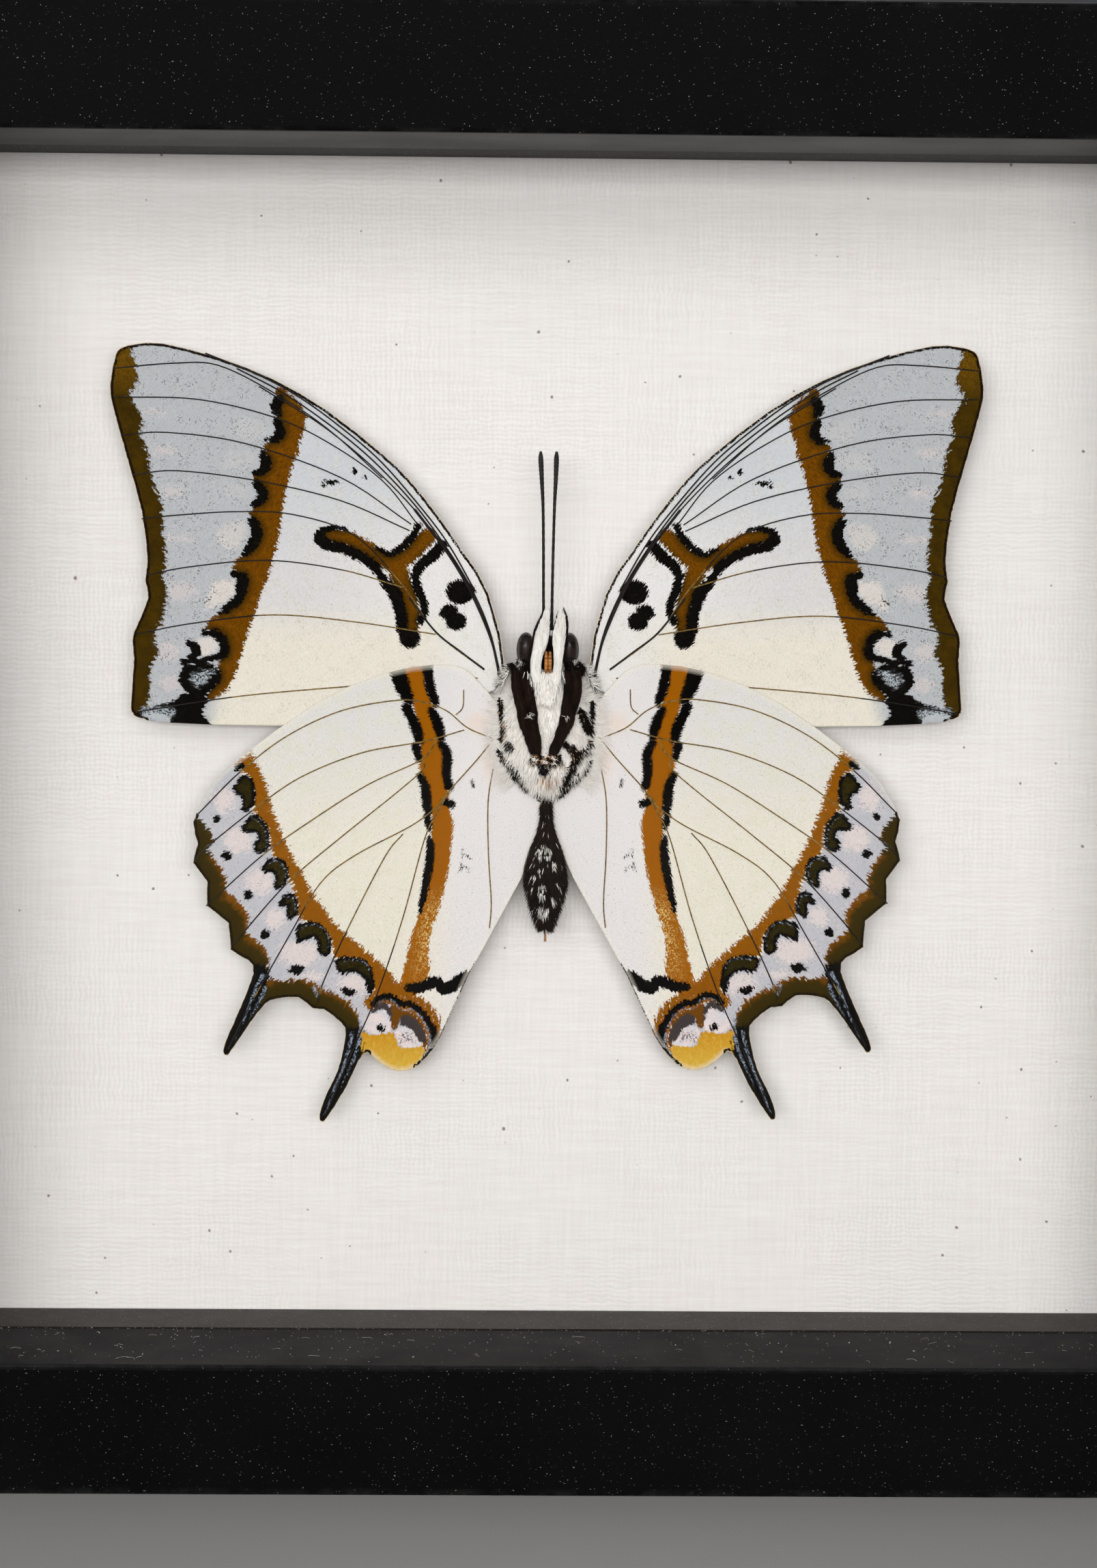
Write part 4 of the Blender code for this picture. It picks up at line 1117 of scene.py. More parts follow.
def hindwing_marks(places, pairs):
    out, up = places.T
    marks = {}
    marks["stripe"] = from_line(places, smooth_line(STRIPE_OCHRE))
    arc = from_patch(places, ARC_INNER_EDGE + ARC_OUTER_EDGE, 2)
    lobe_ring = from_strokes(places, [LOBE_RING])
    lobe_ochre = from_line(places, smooth_line(LOBE_OCHRE))
    marks["ochre"] = np.min([arc, lobe_ochre, lobe_ring - 0.75], axis=0)
    arches = from_patches(places, ARCHES)
    marks["arches"] = arches
    marks["black"] = np.min(
        [
            arches,
            from_strokes(places, STRIPE_BLACK) - 0.18,
            lobe_ring - 0.12,
            from_spots(places, PALE_ZONE_SPOTS),
            from_strokes(places, HINDWING_MARKS),
        ],
        axis=0,
    )
    marks["frost"] = np.min(
        [
            from_strokes(places, ARCH_DEWDROPS, 0.07),
            from_strokes(places, [LOBE_FROST]),
            from_strokes(places, TAIL_FROST),
        ],
        axis=0,
    )
    marks["blush"] = from_spots(places, PALE_ZONE_BLUSH)
    marks["margin"] = from_patch(places, HIND_MARGIN, 2)
    marks["tails"] = from_strokes(places, TAILS)
    marks["outer_zone"] = from_patch(
        places, [*ARC_OUTER_EDGE, (41, -5), (50, -12), (48, -40), (30, -60), (12, -48)], 1
    )
    marks["brown"] = from_patch(places, LOBE_BROWN)
    marks["smoke"] = from_patches(places, LOBE_SMOKE)
    marks["white"] = from_patches(places, LOBE_WHITE)
    marks["yellow"] = from_patch(places, LOBE_YELLOW)
    marks["peppered"] = from_spots(places, [(17.6, -42.8, 1.2, 0.75), (28.4, -36.3, 0.5, 0.5)])
    marks["rim"] = from_rim(places, pairs, lambda u, v: v < -14.5 and (u > 22.4 or u < 16.3 and v < -44.5))
    marks["soft_rim"] = from_rim(places, pairs, lambda u, v: v > -14.5 or u < 22.4)
    marks["dashes"] = from_rim(places, pairs, lambda u, v: u < 14.5 and v < -33.0)
    marks["stain"] = from_spots(places, [(8.8, -2.4, 1.4, 1.2), (7.3, -7.2, 0.8, 1.8)])
    marks["veins"] = from_strokes(places, HINDWING_VEINS)
    marks["out"] = out
    marks["up"] = up
    marks["flow_out"] = np.hypot(out - 5, up + 4)
    marks["flow_across"] = np.arctan2(up + 4, out - 5) * 28
    return marks


def hindwing_colours(finish, mask, fray, fine, coarse, rows):
    out = finish.attribute("out")
    up = finish.attribute("up")
    colour = finish.blend(finish.span(up, -2.0, -18.0), display(215, 210, 209), display(224, 216, 204))
    base = finish.span(out, 16.0, 10.0, smooth=True)
    colour = finish.blend(base, colour, display(221, 215, 215))
    tinge = finish.maths("MULTIPLY", finish.span(coarse, 0.42, 0.7), finish.span(out, 14.0, 20.0))
    colour = finish.blend(finish.maths("MULTIPLY", tinge, 0.45), colour, display(214, 211, 184))
    outer = mask("outer_zone", 0.7, 0.1)
    zone = finish.blend(finish.span(coarse, 0.35, 0.65), display(180, 180, 186), display(190, 185, 191))
    zone = finish.blend(finish.maths("MULTIPLY", mask("blush", 1.6, 0.45), 0.8), zone, display(220, 205, 202))
    dusting = finish.maths("MULTIPLY", finish.span(fine, 0.6, 0.68), finish.span(coarse, 0.45, 0.65))
    zone = finish.blend(finish.maths("MULTIPLY", dusting, 0.7), zone, display(90, 92, 100))
    colour = finish.blend(outer, colour, zone)
    grit = finish.maths("MULTIPLY", finish.span(fine, 0.66, 0.7), 0.6)
    colour = finish.blend(grit, colour, display(120, 112, 100))
    stain = finish.maths("MULTIPLY", mask("stain", 2.0, 0.9), 0.45)
    colour = finish.blend(stain, colour, display(226, 198, 176))
    ochre_tone = finish.blend(finish.span(rows, 0.35, 0.65), display(142, 84, 6), display(112, 62, 3))
    ochre_tone = finish.blend(finish.span(fine, 0.4, 0.75, 0.0, 0.4), ochre_tone, display(172, 110, 16))
    stripe_tone = finish.blend(finish.span(rows, 0.35, 0.65), display(160, 95, 7), display(136, 76, 4))
    worn = finish.maths("MULTIPLY", finish.span(up, -23.0, -27.0), finish.span(up, -37.0, -31.0))
    worn = finish.maths("MULTIPLY", worn, finish.span(fine, 0.5, 0.6))
    across_stripe = finish.maths("ADD", out, finish.maths("MULTIPLY", up, 0.2))
    across_stripe = finish.span(across_stripe, 10.6, 9.4, 0.15, 1)
    worn = finish.maths("MULTIPLY", worn, across_stripe)
    stripe_tone = finish.blend(worn, stripe_tone, display(214, 180, 110))
    colour = finish.blend(mask("stripe", 0.7), colour, stripe_tone)
    colour = finish.blend(mask("ochre", 1.1), colour, ochre_tone)
    margin = mask("margin", 1.0)
    toward_rim = finish.span(finish.maths("ADD", finish.attribute("rim"), fray), 2.4, 1.7)
    olive_tone = finish.blend(toward_rim, display(112, 66, 4), display(52, 40, 5))
    olive_tone = finish.blend(finish.span(fine, 0.6, 0.68, 0, 0.75), olive_tone, display(30, 24, 12))
    colour = finish.blend(margin, colour, olive_tone)
    colour = finish.blend(mask("brown", 0.4), colour, display(104, 62, 10))
    colour = finish.blend(mask("smoke", 0.5), colour, display(62, 54, 54))
    white = finish.blend(finish.span(coarse, 0.4, 0.6), display(206, 200, 204), display(222, 206, 205))
    colour = finish.blend(mask("white", 0.6), colour, white)
    yellow = finish.blend(finish.span(up, -42.0, -46.5), display(192, 134, 22), display(206, 164, 60))
    yellow = finish.blend(finish.span(fray, 0.0, 0.6, 0, 0.5), yellow, display(222, 190, 104))
    colour = finish.blend(mask("yellow", 0.5), colour, yellow)
    peppering = finish.maths("MULTIPLY", mask("peppered", 1.0, 0.3), finish.span(fine, 0.48, 0.54))
    colour = finish.blend(finish.maths("MULTIPLY", peppering, 0.9), colour, display(70, 68, 74))
    colour = finish.blend(mask("tails", 1.0, 0.15), colour, display(12, 11, 10))
    colour = finish.blend(mask("black", 0.6), colour, BLACK_SCALES)
    heart_edge = finish.maths("ADD", finish.attribute("arches"), finish.maths("MULTIPLY", fray, 0.35))
    heart = finish.span(heart_edge, -0.46, -0.58)
    heart_tone = finish.blend(finish.span(fine, 0.42, 0.58), display(54, 44, 5), display(18, 16, 7))
    colour = finish.blend(heart, colour, heart_tone)
    sparkle = finish.maths("MULTIPLY", mask("frost", 0.4, 0.08), finish.span(fine, 0.46, 0.54, 0.0, 1.0))
    colour = finish.blend(sparkle, colour, display(150, 160, 178))
    soft_rim = finish.span(finish.attribute("soft_rim"), 0.7, 0.1, 0, 0.45)
    colour = finish.blend(soft_rim, colour, display(228, 220, 204))
    dashes = finish.span(finish.attribute("dashes"), 0.22, 0.1)
    broken = finish.maths("MULTIPLY", dashes, finish.span(fine, 0.44, 0.5))
    colour = finish.blend(broken, colour, BLACK_SCALES)
    colour = finish.blend(mask("rim_dark", 0.2, 0.05), colour, display(22, 17, 13))
    colour = finish.blend(mask("rim_fringe", 0.1, 0.03), colour, display(226, 208, 176))
    return colour


HINDWING_SCALES = wing_finish("hindwing_scales", hindwing_colours)
for side_name in ("left", "right"):
    make_wing("hindwing", side_name, hindwing_marks, HINDWING_SCALES, 0.05)


# Veins: the stiff hollow ribs that stand up from the underside. They are tan near the body and
# black where they cross the outer part of the wing, and thick black ribs stiffen the front edge.


def vein_finish(name, dark, pale, threshold):
    finish = Finish(name)
    where = finish.place()
    tone = finish.span(finish.noise(where, 2.6, 3, 0.7), threshold - 0.08, threshold + 0.08)
    colour = finish.blend(tone, display(*pale), display(*dark))
    finish.feed(finish.shader.inputs["Base Color"], colour)
    finish.feed(finish.shader.inputs["Roughness"], finish.span(tone, 0, 1, 0.6, 0.5))
    finish.feed(finish.shader.inputs["Normal"], finish.bump(finish.noise(where, 6.0, 2), 0.4, 0.00004))
    return finish.material


TAN_VEIN = vein_finish("tan_vein", (74, 56, 22), (138, 112, 56), 0.52)
BLACK_VEIN = vein_finish("black_vein", (12, 8, 6), (36, 24, 16), 0.42)


def vein_strand(line, side, turn, front_y, thick, switch):
    """Splits a vein where switch(out, up) changes, and gives each stretch its finish."""
    swing = np.array(Matrix.Rotation(turn, 2))
    smooth = smooth_line(line, 6)
    places = [
        Vector((side * out * MM, front_y, WING_ROOT_Z + up * MM)) for out, up in smooth[:, :2] @ swing.T
    ]
    dark = [switch(out, up) for out, up in smooth[:, :2]]
    stretches = []
    start = 0
    for number in range(1, len(places)):
        if dark[number] != dark[start] or number == len(places) - 1:
            stretch = places[start : number + 1]
            radius = thick * MM
            stretches.append((stretch, [radius] * len(stretch), int(dark[start])))
            start = number
    return stretches


def outside_band(out, up):
    return out > 41.3 - 0.3 * up or up > 17.0 + max(0.0, 24.0 - out) * 0.3


def outside_arc(out, up):
    return math.hypot(out - 13.0, up + 6.0) > 25.5 and up > -36.0 or up < -37.0


for kind, lines, switch, depth in (
    ("forewing", FOREWING_VEINS, outside_band, 0.0058),
    ("hindwing", HINDWING_VEINS, outside_arc, 0.0052),
):
    for side_name, side in (("left", -1), ("right", 1)):
        turn = WING_TURNS[kind] if side > 0 else 0.0
        front_y = depth - 0.000235
        stretches = []
        for line in lines:
            stretches += vein_strand(line, side, turn, front_y, 0.095, switch)
        if kind == "forewing":
            for line, thick in BLACK_RIBS:
                stretches += vein_strand(line, side, turn, front_y, thick, lambda out, up: True)
        veins = strands(f"{kind}_veins_{side_name}", stretches, [TAN_VEIN, BLACK_VEIN], 1)


# Thorax: the chest seen from below, packed with white fur and barred with black streaks where
# the wings join. The skin is one closed shell, and the fur is set into it hair by hair.

thorax_low, thorax_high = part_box("thorax")
THORAX_CENTRE = (thorax_low + thorax_high) / 2
THORAX_HALF = (thorax_high - thorax_low) / 2


def egg(name, centre, half, finish, segments=48, rings=32):
    """A smooth closed egg, its poles up and down."""
    shell = bmesh.new()
    bmesh.ops.create_uvsphere(shell, u_segments=segments, v_segments=rings, radius=1)
    bmesh.ops.scale(shell, vec=half, verts=shell.verts)
    bmesh.ops.translate(shell, vec=centre, verts=shell.verts)
    data = bpy.data.meshes.new(name)
    shell.to_mesh(data)
    shell.free()
    data.shade_smooth()
    data.materials.append(finish)
    made = bpy.data.objects.new(name, data)
    bpy.context.scene.collection.objects.link(made)
    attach(made, "root")
    return made


def fur_finish(name, light, dark, roughness=0.8, sheen=0.2):
    finish = Finish(name)
    where = finish.place()
    locks = finish.noise(finish.place((1600, 1600, 500)), 1.0, 3, 0.6)
    patches = finish.noise(where, 0.5, 2)
    share = finish.span(finish.maths("ADD", locks, finish.maths("MULTIPLY", patches, 0.5)), 0.55, 0.95)
    finish.feed(finish.shader.inputs["Base Color"], finish.blend(share, display(*dark), display(*light)))
    finish.feed(finish.shader.inputs["Roughness"], finish.span(locks, 0.3, 0.7, roughness - 0.08, roughness))
    finish.feed(finish.shader.inputs["Specular IOR Level"], 0.12)
    finish.feed(finish.shader.inputs["Sheen Weight"], sheen)
    finish.feed(finish.shader.inputs["Normal"], finish.bump(locks, 0.5, 0.0001))
    return finish.material


WHITE_FUR = fur_finish("white_fur", (255, 251, 247), (246, 239, 233))
BLACK_FUR = fur_finish("black_fur", (26, 17, 14), (10, 6, 5), 0.6, 0.0)
TAN_FUR = fur_finish("tan_fur", (214, 176, 132), (150, 100, 60))

thorax_skin = egg("thorax_skin", THORAX_CENTRE, THORAX_HALF * 0.97, WHITE_FUR)
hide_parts("thorax")


def body_place(out, up, y):
    """A place given in millimetres right of the body's middle, up from the wing root, and back."""
    return Vector((out, 0, up)) * MM + Vector((0, y * MM, WING_ROOT_Z))


def hair(root, way, length, radius, number, sag=0.25):
    """A strand of three places that starts along way and sags downwards towards its tip."""
    way = way.normalized()
    middle = root + way * length * 0.5
    tip = root + way * length + Vector((0, 0, -1)) * length * sag
    return ((root, middle, tip), (radius, radius * 0.8, radius * 0.12), number)


THORAX_STREAKS = [
    [(-6.0, 0.6, 0.16), (-5.8, -1.2, 0.2), (-5.5, -2.9, 0.24), (-5.7, -4.4, 0.18)],
    [(-4.9, -4.6, 0.2), (-4.5, -5.4, 0.2)],
    [(-6.1, -5.9, 0.1), (-5.3, -7.0, 0.3), (-4.2, -8.0, 0.32), (-3.3, -9.3, 0.25), (-2.4, -10.6, 0.2)],
    [(-1.3, -11.3, 0.22), (-0.8, -11.5, 0.15)],
    [(4.3, -0.5, 0.25), (4.5, -1.9, 0.16), (5.4, -3.3, 0.25), (5.75, -1.2, 0.14), (5.7, 0.4, 0.16)],
    [(4.3, -0.5, 0.25), (4.9, -1.8, 0.16), (5.4, -3.0, 0.2)],
    [(3.1, -5.0, 0.3), (3.7, -6.1, 0.35), (5.1, -5.3, 0.18), (5.4, -4.4, 0.12)],
    [(3.8, -6.0, 0.35), (3.4, -7.2, 0.3), (2.8, -8.5, 0.3), (2.2, -9.8, 0.22), (1.7, -10.9, 0.12)],
    [(5.4, -7.2, 0.3), (4.8, -8.2, 0.3), (3.5, -9.6, 0.22), (2.5, -10.7, 0.14), (1.6, -11.6, 0.1)],
    [(2.4, -4.6, 0.25), (2.7, -5.3, 0.2)],
    [(-0.6, -8.1, 0.3), (-0.1, -8.2, 0.25)],
    [(-0.4, -12.2, 0.35), (0.4, -12.1, 0.3)],
    [(-1.7, -6.6, 0.35), (-0.7, -7.0, 0.4), (0.6, -6.9, 0.4), (1.5, -6.4, 0.35)],
]
THORAX_TAN = [
    (-5.4, -2.4, 0.5, 0.9), (-5.6, -7.6, 0.7, 1.6), (-4.9, -9.9, 0.6, 0.8), (0.0, -6.7, 1.2, 0.4),
    (0.2, -9.0, 0.8, 0.4),
]
chance = random.Random(23)
roots = []
for number in range(7400):
    angle = chance.uniform(0, 2 * math.pi)
    reach = math.sqrt(chance.random())
    out = reach * math.cos(angle) * 0.985
    up = reach * math.sin(angle) * 0.985
    roots.append((out, up))
flat = np.array(
    [
        (out * THORAX_HALF.x / MM, (THORAX_CENTRE.z + up * THORAX_HALF.z - WING_ROOT_Z) / MM)
        for out, up in roots
    ]
)
streak = from_strokes(flat, THORAX_STREAKS)
tan = from_spots(flat, THORAX_TAN)
hairs = []
for (out, up), out_mm, dark_edge, tan_edge in zip(roots, flat[:, 0], streak, tan):
    front = -math.sqrt(max(0.0, 1 - out * out - up * up))
    root = THORAX_CENTRE + Vector((out * THORAX_HALF.x, front * THORAX_HALF.y, up * THORAX_HALF.z)) * 0.96
    normal = Vector((out / THORAX_HALF.x, front / THORAX_HALF.y, up / THORAX_HALF.z)).normalized()
    spread = 0.25 + 0.5 * max(0.0, abs(out_mm) - 2.5) / 3.2
    lay = Vector((math.copysign(spread, out_mm) if abs(out_mm) > 1.2 else out_mm * 0.1, 0, -1))
    jitter = Vector((chance.uniform(-0.3, 0.3), chance.uniform(-0.15, 0.15), chance.uniform(-0.3, 0.3)))
    way = lay + normal * 0.42 + jitter
    length = chance.uniform(0.9, 1.7) * MM
    dark = dark_edge + chance.uniform(-0.12, 0.12) < 0
    fawn = tan_edge + chance.uniform(-0.5, 0.3) < 0 and chance.random() < 0.5
    kind = 1 if dark else 2 if fawn else 0
    length *= 0.6 if dark else 0.7 if dark_edge < 0.5 else 1
    root += normal * (0.3 * MM if dark else 0)
    hairs.append(hair(root, way, length, chance.uniform(0.04, 0.068) * MM, kind))
for streak in THORAX_STREAKS:
    line = smooth_line(streak, 8)
    for number in range(int(len(line) * 7)):
        out, up, half = line[chance.randrange(len(line))]
        out += chance.uniform(-1.0, 1.0) * half
        up += chance.uniform(-0.2, 0.2)
        above = up * MM + WING_ROOT_Z - THORAX_CENTRE.z
        reach = ((out * MM / THORAX_HALF.x) ** 2) + ((above / THORAX_HALF.z) ** 2)
        depth = THORAX_CENTRE.y - THORAX_HALF.y * math.sqrt(max(0.0, 1 - reach))
        root = body_place(out, up, min(depth / MM - 0.7, 4.2))
        way = Vector((chance.uniform(-0.5, 0.5), -0.25, chance.uniform(-1.1, 0.3)))
        kind = 1 if chance.random() < 0.95 else 2
        hairs.append(hair(root, way, chance.uniform(0.35, 0.7) * MM, 0.085 * MM, kind, 0.1))
thorax_fur = strands("thorax_fur", hairs, [WHITE_FUR, BLACK_FUR, TAN_FUR])

# Long soft hair from the wing roots lies out over the bases of the wings.

hairs = []
for number in range(2600):
    side = chance.choice((-1, 1))
    up = chance.uniform(-9.5, 4.5)
    edge = math.sqrt(max(0.02, 1 - ((up + 3.7) / 8.2) ** 2))
    root = body_place(side * (5.2 * edge + chance.uniform(-0.5, 0.7)), up, chance.uniform(4.5, 4.95))
    slope = (up + 3.0) * 0.11 + chance.uniform(-0.25, 0.25)
    way = Vector((side, -0.03 + chance.uniform(-0.05, 0.02), slope - 0.15))
    length = chance.uniform(1.2, 3.4) * MM
    hairs.append(hair(root, way, length, chance.uniform(0.014, 0.028) * MM, 0, 0.05))
for side in (-1, 1):
    for number in range(420):
        along = chance.random()
        root = body_place(side * (4.6 + 1.2 * along), 4.9 - 2.4 * along, chance.uniform(3.4, 4.8))
        way = Vector((side * chance.uniform(0.1, 0.7), chance.uniform(-0.2, 0.1), chance.uniform(-0.9, 0.4)))
        kind = 1 if chance.random() < 0.3 else 0
        hairs.append(hair(root, way, chance.uniform(0.7, 1.5) * MM, 0.03 * MM, kind, 0.1))
wing_root_hair = strands("wing_root_hair", hairs, [WHITE_FUR, BLACK_FUR])


# Head: a small dark ball between the eyes that the palps hide, with black hairy shoulders where
# the legs begin and a white bib below the palps.

head_low, head_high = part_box("head")
head_skin = egg("head_skin", (head_low + head_high) / 2, (head_high - head_low) / 2, BLACK_FUR, 32, 24)
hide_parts("head")
hairs = []
for number in range(1300):
    side = chance.choice((-1, 1))
    out = side * chance.uniform(2.1, 3.9)
    up = chance.uniform(3.4, 5.9)
    root = body_place(out, up, chance.uniform(2.6, 3.6))
    way = Vector((side * chance.uniform(-0.2, 0.6), -0.5, chance.uniform(-1.0, 0.3)))
    pale = abs(out) > 2.8 and up > 4.5 and abs(out) < 3.6
    hairs.append(hair(root, way, chance.uniform(0.5, 1.0) * MM, 0.04 * MM, 0 if pale else 1, 0.1))
for number in range(500):
    root = body_place(chance.uniform(-1.1, 1.1), chance.uniform(4.6, 8.0), chance.uniform(1.9, 2.5))
    way = Vector((chance.uniform(-0.3, 0.3), -0.4, chance.uniform(0.2, 1.0)))
    hairs.append(hair(root, way, chance.uniform(0.4, 0.8) * MM, 0.035 * MM, 1, 0.0))
SHOULDERS = [
    [(-4.7, 5.3, 0.25), (-4.4, 4.8, 0.45), (-3.9, 4.2, 0.6), (-3.5, 3.7, 0.7)],
    [(-3.0, 6.0, 0.5), (-2.7, 5.2, 0.8), (-2.9, 4.4, 0.95), (-3.3, 3.7, 1.0)],
    [(3.0, 5.9, 0.45), (3.0, 5.1, 0.75), (3.2, 4.4, 0.9), (3.3, 3.7, 0.9)],
    [(3.7, 5.5, 0.25), (4.2, 5.0, 0.35), (4.2, 4.4, 0.4), (3.8, 3.9, 0.5)],
]
for shoulder in SHOULDERS:
    line = smooth_line(shoulder, 4)
    places = [body_place(out, up, 3.0 - 0.25 * (6.0 - up)) for out, up, half in line]
    hairs.append((places, [half * MM for out, up, half in line], 1))
    for number in range(240):
        spot = chance.randrange(len(line))
        out, up, half = line[spot]
        angle = chance.uniform(-1.5, 1.5)
        shift = Vector((math.sin(angle), -math.cos(angle), 0)) * half * MM
        way = shift.normalized() * 0.4 + Vector((0, 0, chance.uniform(-0.9, 0.4)))
        hairs.append(hair(places[spot] + shift * 0.9, way, chance.uniform(0.3, 0.6) * MM, 0.035 * MM, 1, 0.0))
for number in range(900):
    up = chance.uniform(0.6, 4.4)
    root = body_place(chance.gauss(-0.15, 0.55 + 0.08 * up), up, chance.uniform(1.2, 1.7))
    way = Vector((chance.uniform(-0.2, 0.2), -0.15, chance.uniform(-1.0, -0.5)))
    hairs.append(hair(root, way, chance.uniform(0.6, 1.2) * MM, 0.045 * MM, 0, 0.05))
head_fur = strands("head_fur", hairs, [WHITE_FUR, BLACK_FUR])


# Eyes: smooth dark domes of very fine facets, a little glossy.


def eye_finish():
    finish = Finish("compound_eye")
    where = finish.place()
    facets = finish.node("TexVoronoi", Vector=where, Scale=22.0).outputs["Distance"]
    clouds = finish.noise(where, 0.8, 3)
    colour = finish.blend(finish.span(clouds, 0.4, 0.7), display(14, 8, 7), display(40, 22, 17))
    finish.feed(finish.shader.inputs["Base Color"], colour)
    finish.feed(finish.shader.inputs["Roughness"], finish.span(clouds, 0.3, 0.7, 0.24, 0.34))
    finish.feed(finish.shader.inputs["Coat Weight"], 0.3)
    finish.feed(finish.shader.inputs["Coat Roughness"], 0.15)
    finish.feed(finish.shader.inputs["Normal"], finish.bump(facets, 0.3, 0.00002))
    return finish.material


COMPOUND_EYE = eye_finish()
for side_name in ("left", "right"):
    eye_low, eye_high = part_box(f"eye_{side_name}")
    half = (eye_high - eye_low) / 2
    half.x *= 1.28
    half.z *= 1.18
    dome = egg(f"eye_{side_name}_dome", (eye_low + eye_high) / 2, half, COMPOUND_EYE)
    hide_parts(f"eye_{side_name}")


# Palps: two white brushes held up before the face, flat-scaled, each with a black outer edge.


def palp_finish():
    finish = Finish("palp_scales")
    streaks = finish.noise(finish.place((3600, 3600, 700)), 1.0, 3, 0.6)
    colour = finish.blend(finish.span(streaks, 0.35, 0.65), display(246, 243, 240), display(228, 221, 215))
    finish.feed(finish.shader.inputs["Base Color"], colour)
    finish.feed(finish.shader.inputs["Roughness"], finish.span(streaks, 0.3, 0.7, 0.65, 0.8))
    finish.feed(finish.shader.inputs["Sheen Weight"], 0.2)
    finish.feed(finish.shader.inputs["Normal"], finish.bump(streaks, 0.5, 0.00008))
    return finish.material


PALP_SCALES = palp_finish()
PALP_LINES = {
    "left": [
        (-1.4, 3.0, 0.5), (-1.5, 4.0, 0.66), (-1.52, 5.4, 0.7), (-1.36, 6.4, 0.72), (-1.08, 7.4, 0.84),
        (-0.82, 8.6, 0.9), (-0.64, 9.6, 0.76), (-0.46, 10.5, 0.55), (-0.22, 11.6, 0.27),
        (-0.1, 12.5, 0.04),
    ],
    "right": [
        (1.1, 2.8, 0.42), (1.14, 3.8, 0.48), (1.24, 5.2, 0.52), (1.32, 6.6, 0.68), (1.34, 8.2, 0.86),
        (1.46, 9.5, 0.76), (1.57, 10.5, 0.58), (1.6, 11.4, 0.32), (1.56, 12.3, 0.04),
    ],
}
for side_name, side in (("left", -1), ("right", 1)):
    line = smooth_line(PALP_LINES[side_name], 6)
    places = [body_place(out, up, 1.45 + 0.02 * (up - 8) ** 2 * 0.3) for out, up, half in line]
    pieces = [(places, [half * MM for out, up, half in line], 0)]
    for number in range(900):
        spot = chance.randrange(0, len(line) - 6)
        out, up, half = line[spot]
        angle = chance.uniform(-1.25, 1.25)
        shift = Vector((math.sin(angle), -math.cos(angle), 0)) * half * MM * 0.93
        root = places[spot] + shift + Vector((0, 0, chance.uniform(-0.12, 0.12) * MM))
        way = (places[spot + 3] - places[spot]).normalized() + shift.normalized() * 0.16
        pieces.append(hair(root, way, chance.uniform(0.4, 0.8) * MM, 0.045 * MM, 0, 0.0))
    for number in range(360):
        spot = chance.randrange(14, len(line) - 4)
        out, up, half = line[spot]
        root = places[spot] + Vector((side * (half + chance.uniform(0.02, 0.2)) * MM, 0.55 * MM, 0))
        way = (places[spot + 3] - places[spot]).normalized() + Vector((side * 0.12, 0.1, 0))
        pieces.append(hair(root, way, chance.uniform(0.5, 0.9) * MM, 0.045 * MM, 1, 0.0))
    for number in range(160):
        spot = chance.randrange(16, len(line) - 6)
        out, up, half = line[spot]
        root = places[spot] + Vector((-side * (half + 0.05) * MM, 0.55 * MM, 0))
        way = (places[spot + 3] - places[spot]).normalized()
        pieces.append(hair(root, way, chance.uniform(0.4, 0.8) * MM, 0.05 * MM, 1, 0.0))
    palp = strands(f"palp_{side_name}_brush", pieces, [PALP_SCALES, BLACK_FUR], 1)
    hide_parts(f"palp_{side_name}")


# Proboscis: the coiled tongue seen edge on, two amber half-tubes side by side.


def tongue_finish():
    finish = Finish("amber_tongue")
    rings = finish.noise(finish.place((800, 800, 5200)), 1.0, 2, 0.6)
    colour = finish.blend(finish.span(rings, 0.35, 0.65), display(196, 134, 66), display(120, 66, 26))
    finish.feed(finish.shader.inputs["Base Color"], colour)
    finish.feed(finish.shader.inputs["Roughness"], finish.span(rings, 0.3, 0.7, 0.35, 0.5))
    finish.feed(finish.shader.inputs["Normal"], finish.bump(rings, 0.4, 0.00005))
    return finish.material


TONGUE = tongue_finish()
tubes = []
for side in (-1, 1):
    places = [
        body_place(0.02 + side * 0.24, up, 0.95 + 0.08 * (up - 5.5) ** 2)
        for up in (4.2, 4.8, 5.5, 6.2, 6.9)
    ]
    tubes.append((places, [radius * MM for radius in (0.16, 0.22, 0.23, 0.22, 0.15)], 0))
proboscis = strands("proboscis_tubes", tubes, [TONGUE], 4)
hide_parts("proboscis")


# Antennae: black jointed rods that thicken into slim clubs, laid side by side.


def horn_finish():
    finish = Finish("black_horn")
    joints = finish.noise(finish.place((700, 700, 3400)), 1.0, 1, 0.5)
    colour = finish.blend(finish.span(joints, 0.4, 0.6), display(20, 18, 18), display(40, 34, 31))
    finish.feed(finish.shader.inputs["Base Color"], colour)
    finish.feed(finish.shader.inputs["Roughness"], finish.span(joints, 0.3, 0.7, 0.4, 0.6))
    finish.feed(finish.shader.inputs["Normal"], finish.bump(joints, 0.5, 0.00006))
    return finish.material


